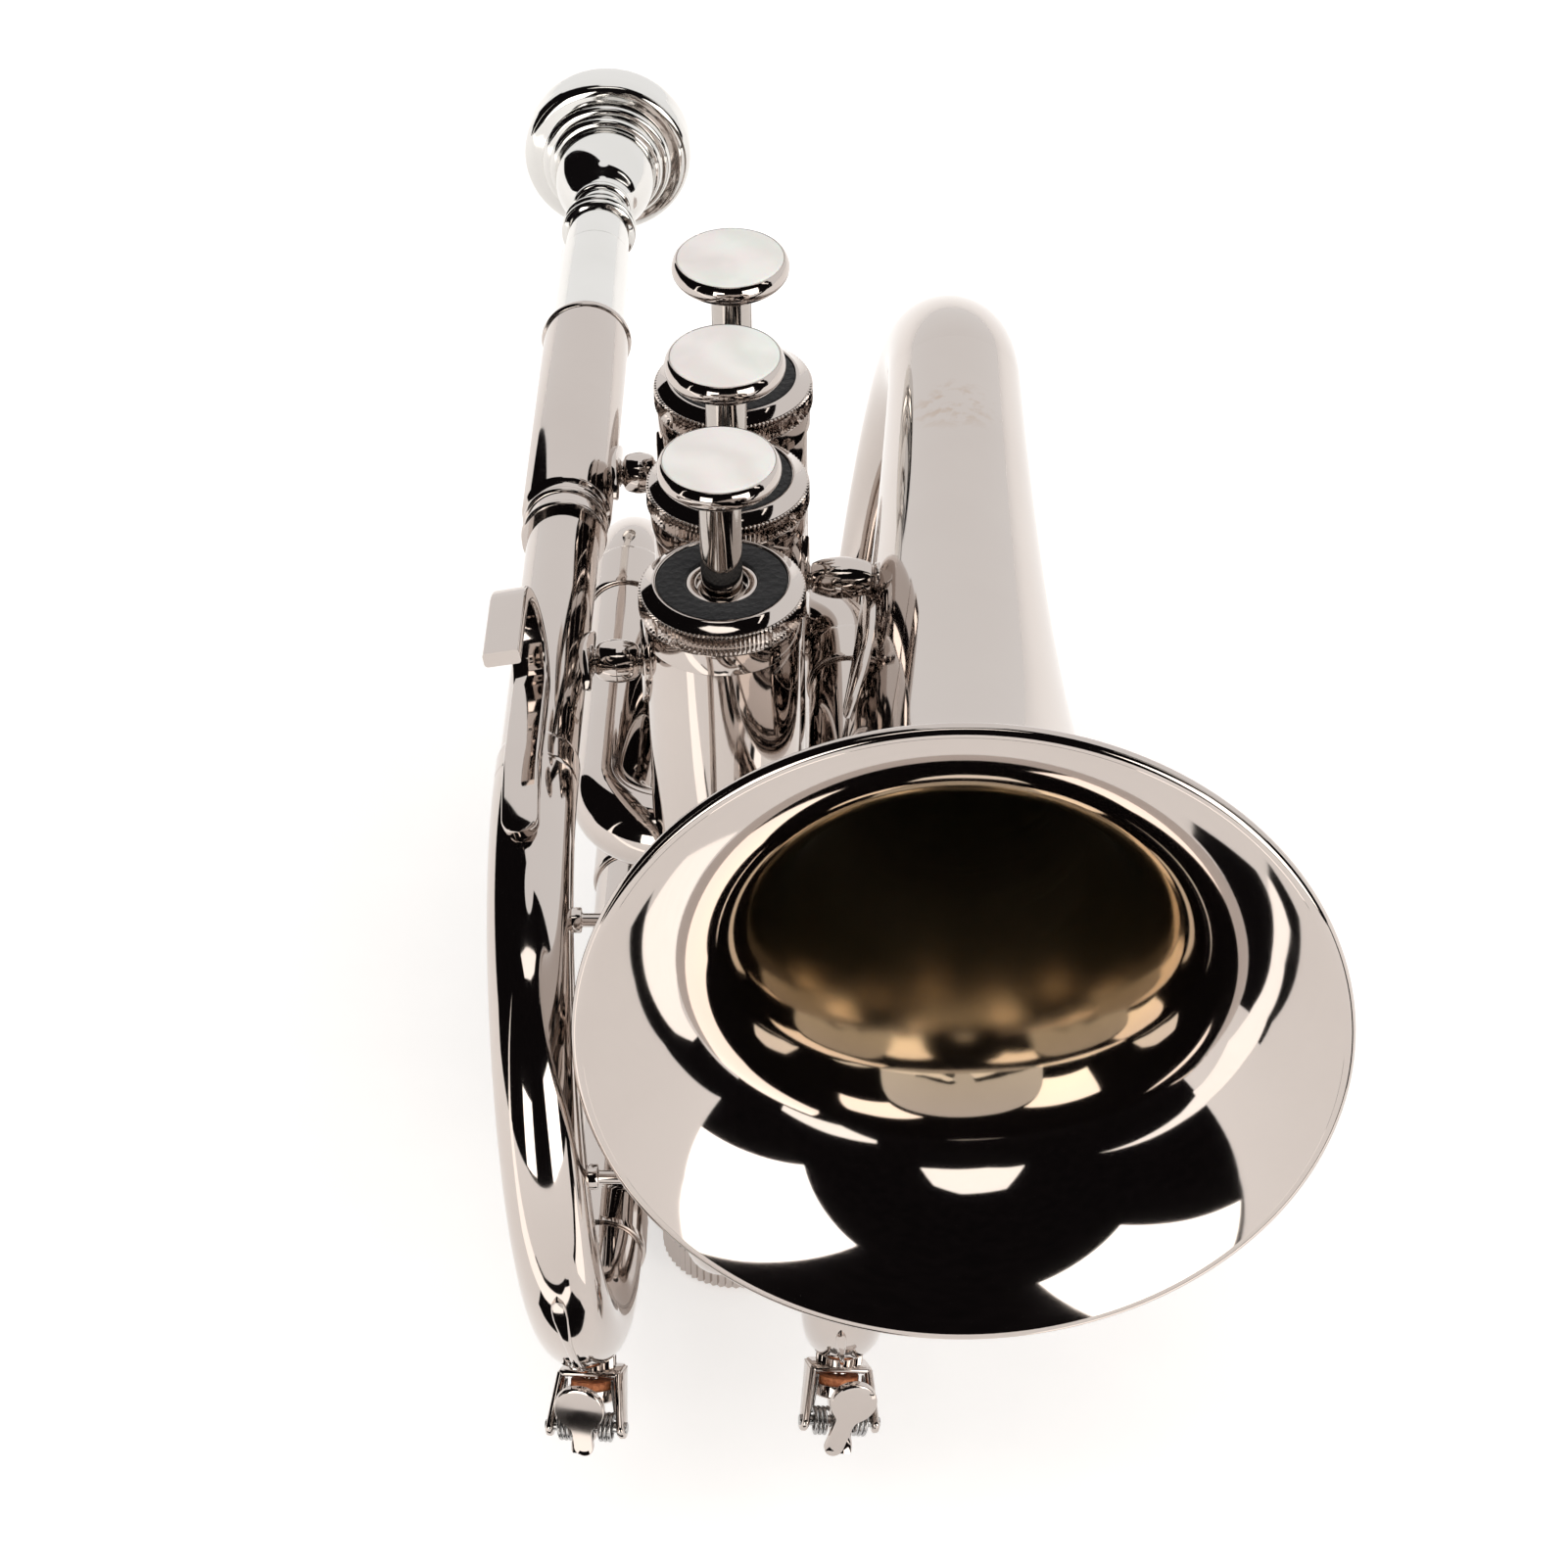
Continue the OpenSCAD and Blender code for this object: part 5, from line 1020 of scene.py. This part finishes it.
def water_key(side, upper, lower, turn, twist, root, spoon_h, spoon_r, slant, leaf_end, leaf_w):
    """Drain on the bow from upper to lower: turn and twist set it, in degrees, and root is where the
    lever meets its thumb plate, of a height, radius and slant. The strap ends at leaf_end degrees."""
    upper = Vector(upper)
    lower = Vector(lower)
    bend_r = (upper - lower).length / 2
    lean = atan2(upper.x - lower.x, upper.z - lower.z)
    bow = TUBES @ Matrix.Translation((upper + lower) / 2) @ Matrix.Rotation(lean, 4, "Y")
    key = bow @ Matrix.Rotation(key_down, 4, "X") @ Matrix.Translation((0, 0, -bend_r)) \
        @ Matrix.Rotation(radians(turn), 4, "Y") @ Matrix.Translation((0, 0, -tube_r)) \
        @ Matrix.Rotation(radians(twist), 4, "Z")
    sideways = Matrix(((0, 0, 1, 0), (1, 0, 0, 0), (0, 1, 0, 0), (0, 0, 0, 1)))
    bracket = {"node": side + "_key_bracket"}
    lever = {"body": side + "_water_key", "node": side + "_key_lever"}

    lathe(side + "_key_collar", [(1.1, -1.38), (3.15, -1.4), (3.4, -1.3), (3.4, 1.1), (1.1, 1.1)], nickel,
          key, steps=176, teeth=(22, 0.4, -1.35, 1.2, 3.2), **bracket)
    lathe(side + "_key_nipple", [(1.1, -2.8), (1.66, -2.8), (1.8, -2.68), (1.8, 0.1), (1.1, 0.1)], nickel,
          key, steps=48, **bracket)
    edge = []
    for i, (x, y) in enumerate(((3.55, 1.6), (-3.55, 1.6), (-3.55, -1.6), (3.55, -1.6))):
        edge += arc(x, y, 1.0, 90 * i, 90 * i + 90, 6)
    slab(side + "_key_crossbar", edge, -2.4, -1.4, nickel, key, 0.28, **bracket)
    for way, sign in (("left", -1), ("right", 1)):
        edge = curve_through([(-2.4, -0.35), (-3.5, -2.7), (-4.75, -5.4), (-5.66, -7.45)])
        edge += arc(-4, -7.6, 1.68, 180, 360, 14)
        edge += curve_through([(-2.34, -7.45), (-0.9, -5.2), (0.6, -2.9), (2.4, -0.35)])
        stand = key @ Matrix.Translation((sign * 4.05, 0, -1.4)) \
            @ Matrix.Rotation(radians(-sign * 8), 4, "Y") @ sideways
        slab(side + "_key_arm_" + way, edge, -0.5, 0.5, nickel, stand, 0.22, **bracket)
    spine = []
    leaf_start = 30.5
    leaf_parts = 48
    for i in range(leaf_parts + 1):
        degree = leaf_start + (leaf_end - leaf_start) * (i / leaf_parts)
        swell = (degree - (leaf_end - 17)) / 12
        half_w = leaf_w / 4 + leaf_w / 4 * min(1, max(0, swell)) ** 1.3
        from_tip = (leaf_end - degree) * pi / 180 * (bend_r + tube_r)
        half_w *= sqrt(1 - max(0, 1 - from_tip / (half_w * 2.2)) ** 2)
        a = radians(-degree)
        r = bend_r + tube_r + 0.12
        spine.append(((0, r * sin(a), -r * cos(a)), (0, sin(a), -cos(a)), max(half_w, 0.12)))
    strap(side + "_key_leaf", spine, 0.9, nickel, bow, edge=0.4, **bracket)

    across = key @ Matrix.Translation((0, hinge_y, hinge_z)) @ Matrix.Rotation(radians(90), 4, "Y")
    lathe(side + "_key_hub", rounded([(0.85, -1.3), (1.9, -1.3), (1.9, 1.3), (0.85, 1.3)], 0.25), nickel,
          across, steps=48, **lever)
    stand = key @ Matrix.Translation((-1.2, 0, 0)) @ sideways
    edge = [(-4.6, -7.8), (-2, -5.6), (0.5, -5.6), (0.5, -7.0), (-2.8, -10.2), (root[1], root[2] - 0.9),
            (root[1], root[2] + 0.7)]
    slab(side + "_key_beam", edge[::-1], 0, 2.4, nickel, stand, 0.3, **lever)
    cup = rounded([(0, -6.2), (3.2, -6.2), (3.5, -5.9), (3.5, -4.2), (3.15, -4.2), (3.15, -5.5), (0, -5.5)],
                  0.12)
    lathe(side + "_key_cup", cup, nickel, key, steps=72, **lever)
    lathe(side + "_key_cork_pad", rounded([(0, -5.5), (3.1, -5.5), (3.1, -3.1), (0, -3.1)], 0.2), cork, key,
          steps=72, body=side + "_water_key", node=side + "_key_cork")
    neck = spoon_h - spoon_r
    neck_side = [(1.36, 0), (1.38, neck - 1.0), (1.55, neck + 0.1), (2.1, neck + 0.75)]
    edge = arc(0, spoon_h, spoon_r - 0.03, -52, 232, 40)
    edge += curve_through([(-x, y) for x, y in reversed(neck_side)])
    edge += arc(0, 0, 1.36, 180, 360, 12)
    edge += curve_through(neck_side)
    tip = radians(-slant)
    plate = key @ Matrix.Translation(root) @ Matrix.Rotation(radians(20), 4, "X")

    def thumb(u, v, h):
        return (u * cos(tip) - v * sin(tip), 0.25 - h, u * sin(tip) + v * cos(tip))

    pad(side + "_key_thumb_plate", edge, 0.75, thumb, nickel, bevel=0.3, frame_of=plate, **lever)
    pin = rounded([(0, -hinge_half), (0.8, -hinge_half), (0.8, hinge_half), (0, hinge_half)], 0.2)
    lathe(side + "_key_hinge_pin", pin, spring_steel, across, steps=32, node=side + "_key_pin")
    coil_r = 1.86
    coil_parts = 72
    for end, sign in (("a", -1), ("b", 1)):
        points = [(sign * 3.3, -1.9, -2.75), (sign * 3.4, -2.2, -3.6)]
        for i in range(coil_parts + 1):
            a = radians(20 + 1170 * i / coil_parts)
            points.append((sign * (3.9 - 2.1 * i / coil_parts), hinge_y + coil_r * cos(a),
                           hinge_z + coil_r * sin(a)))
        wire(side + "_key_spring_" + end, points, 0.3, spring_steel, key, node=side + "_key_springs")


water_key("left", lead_front, low_front, turn=3, twist=-8, root=(0.7, -8.5, -10.7), spoon_h=6.6,
          spoon_r=3.6, slant=0, leaf_end=79, leaf_w=2.1)
water_key("right", outlet_top, leg_front, turn=5, twist=12, root=(-1.5, -8.5, -11.6), spoon_h=8.2,
          spoon_r=3.4, slant=12, leaf_end=70, leaf_w=1.5)
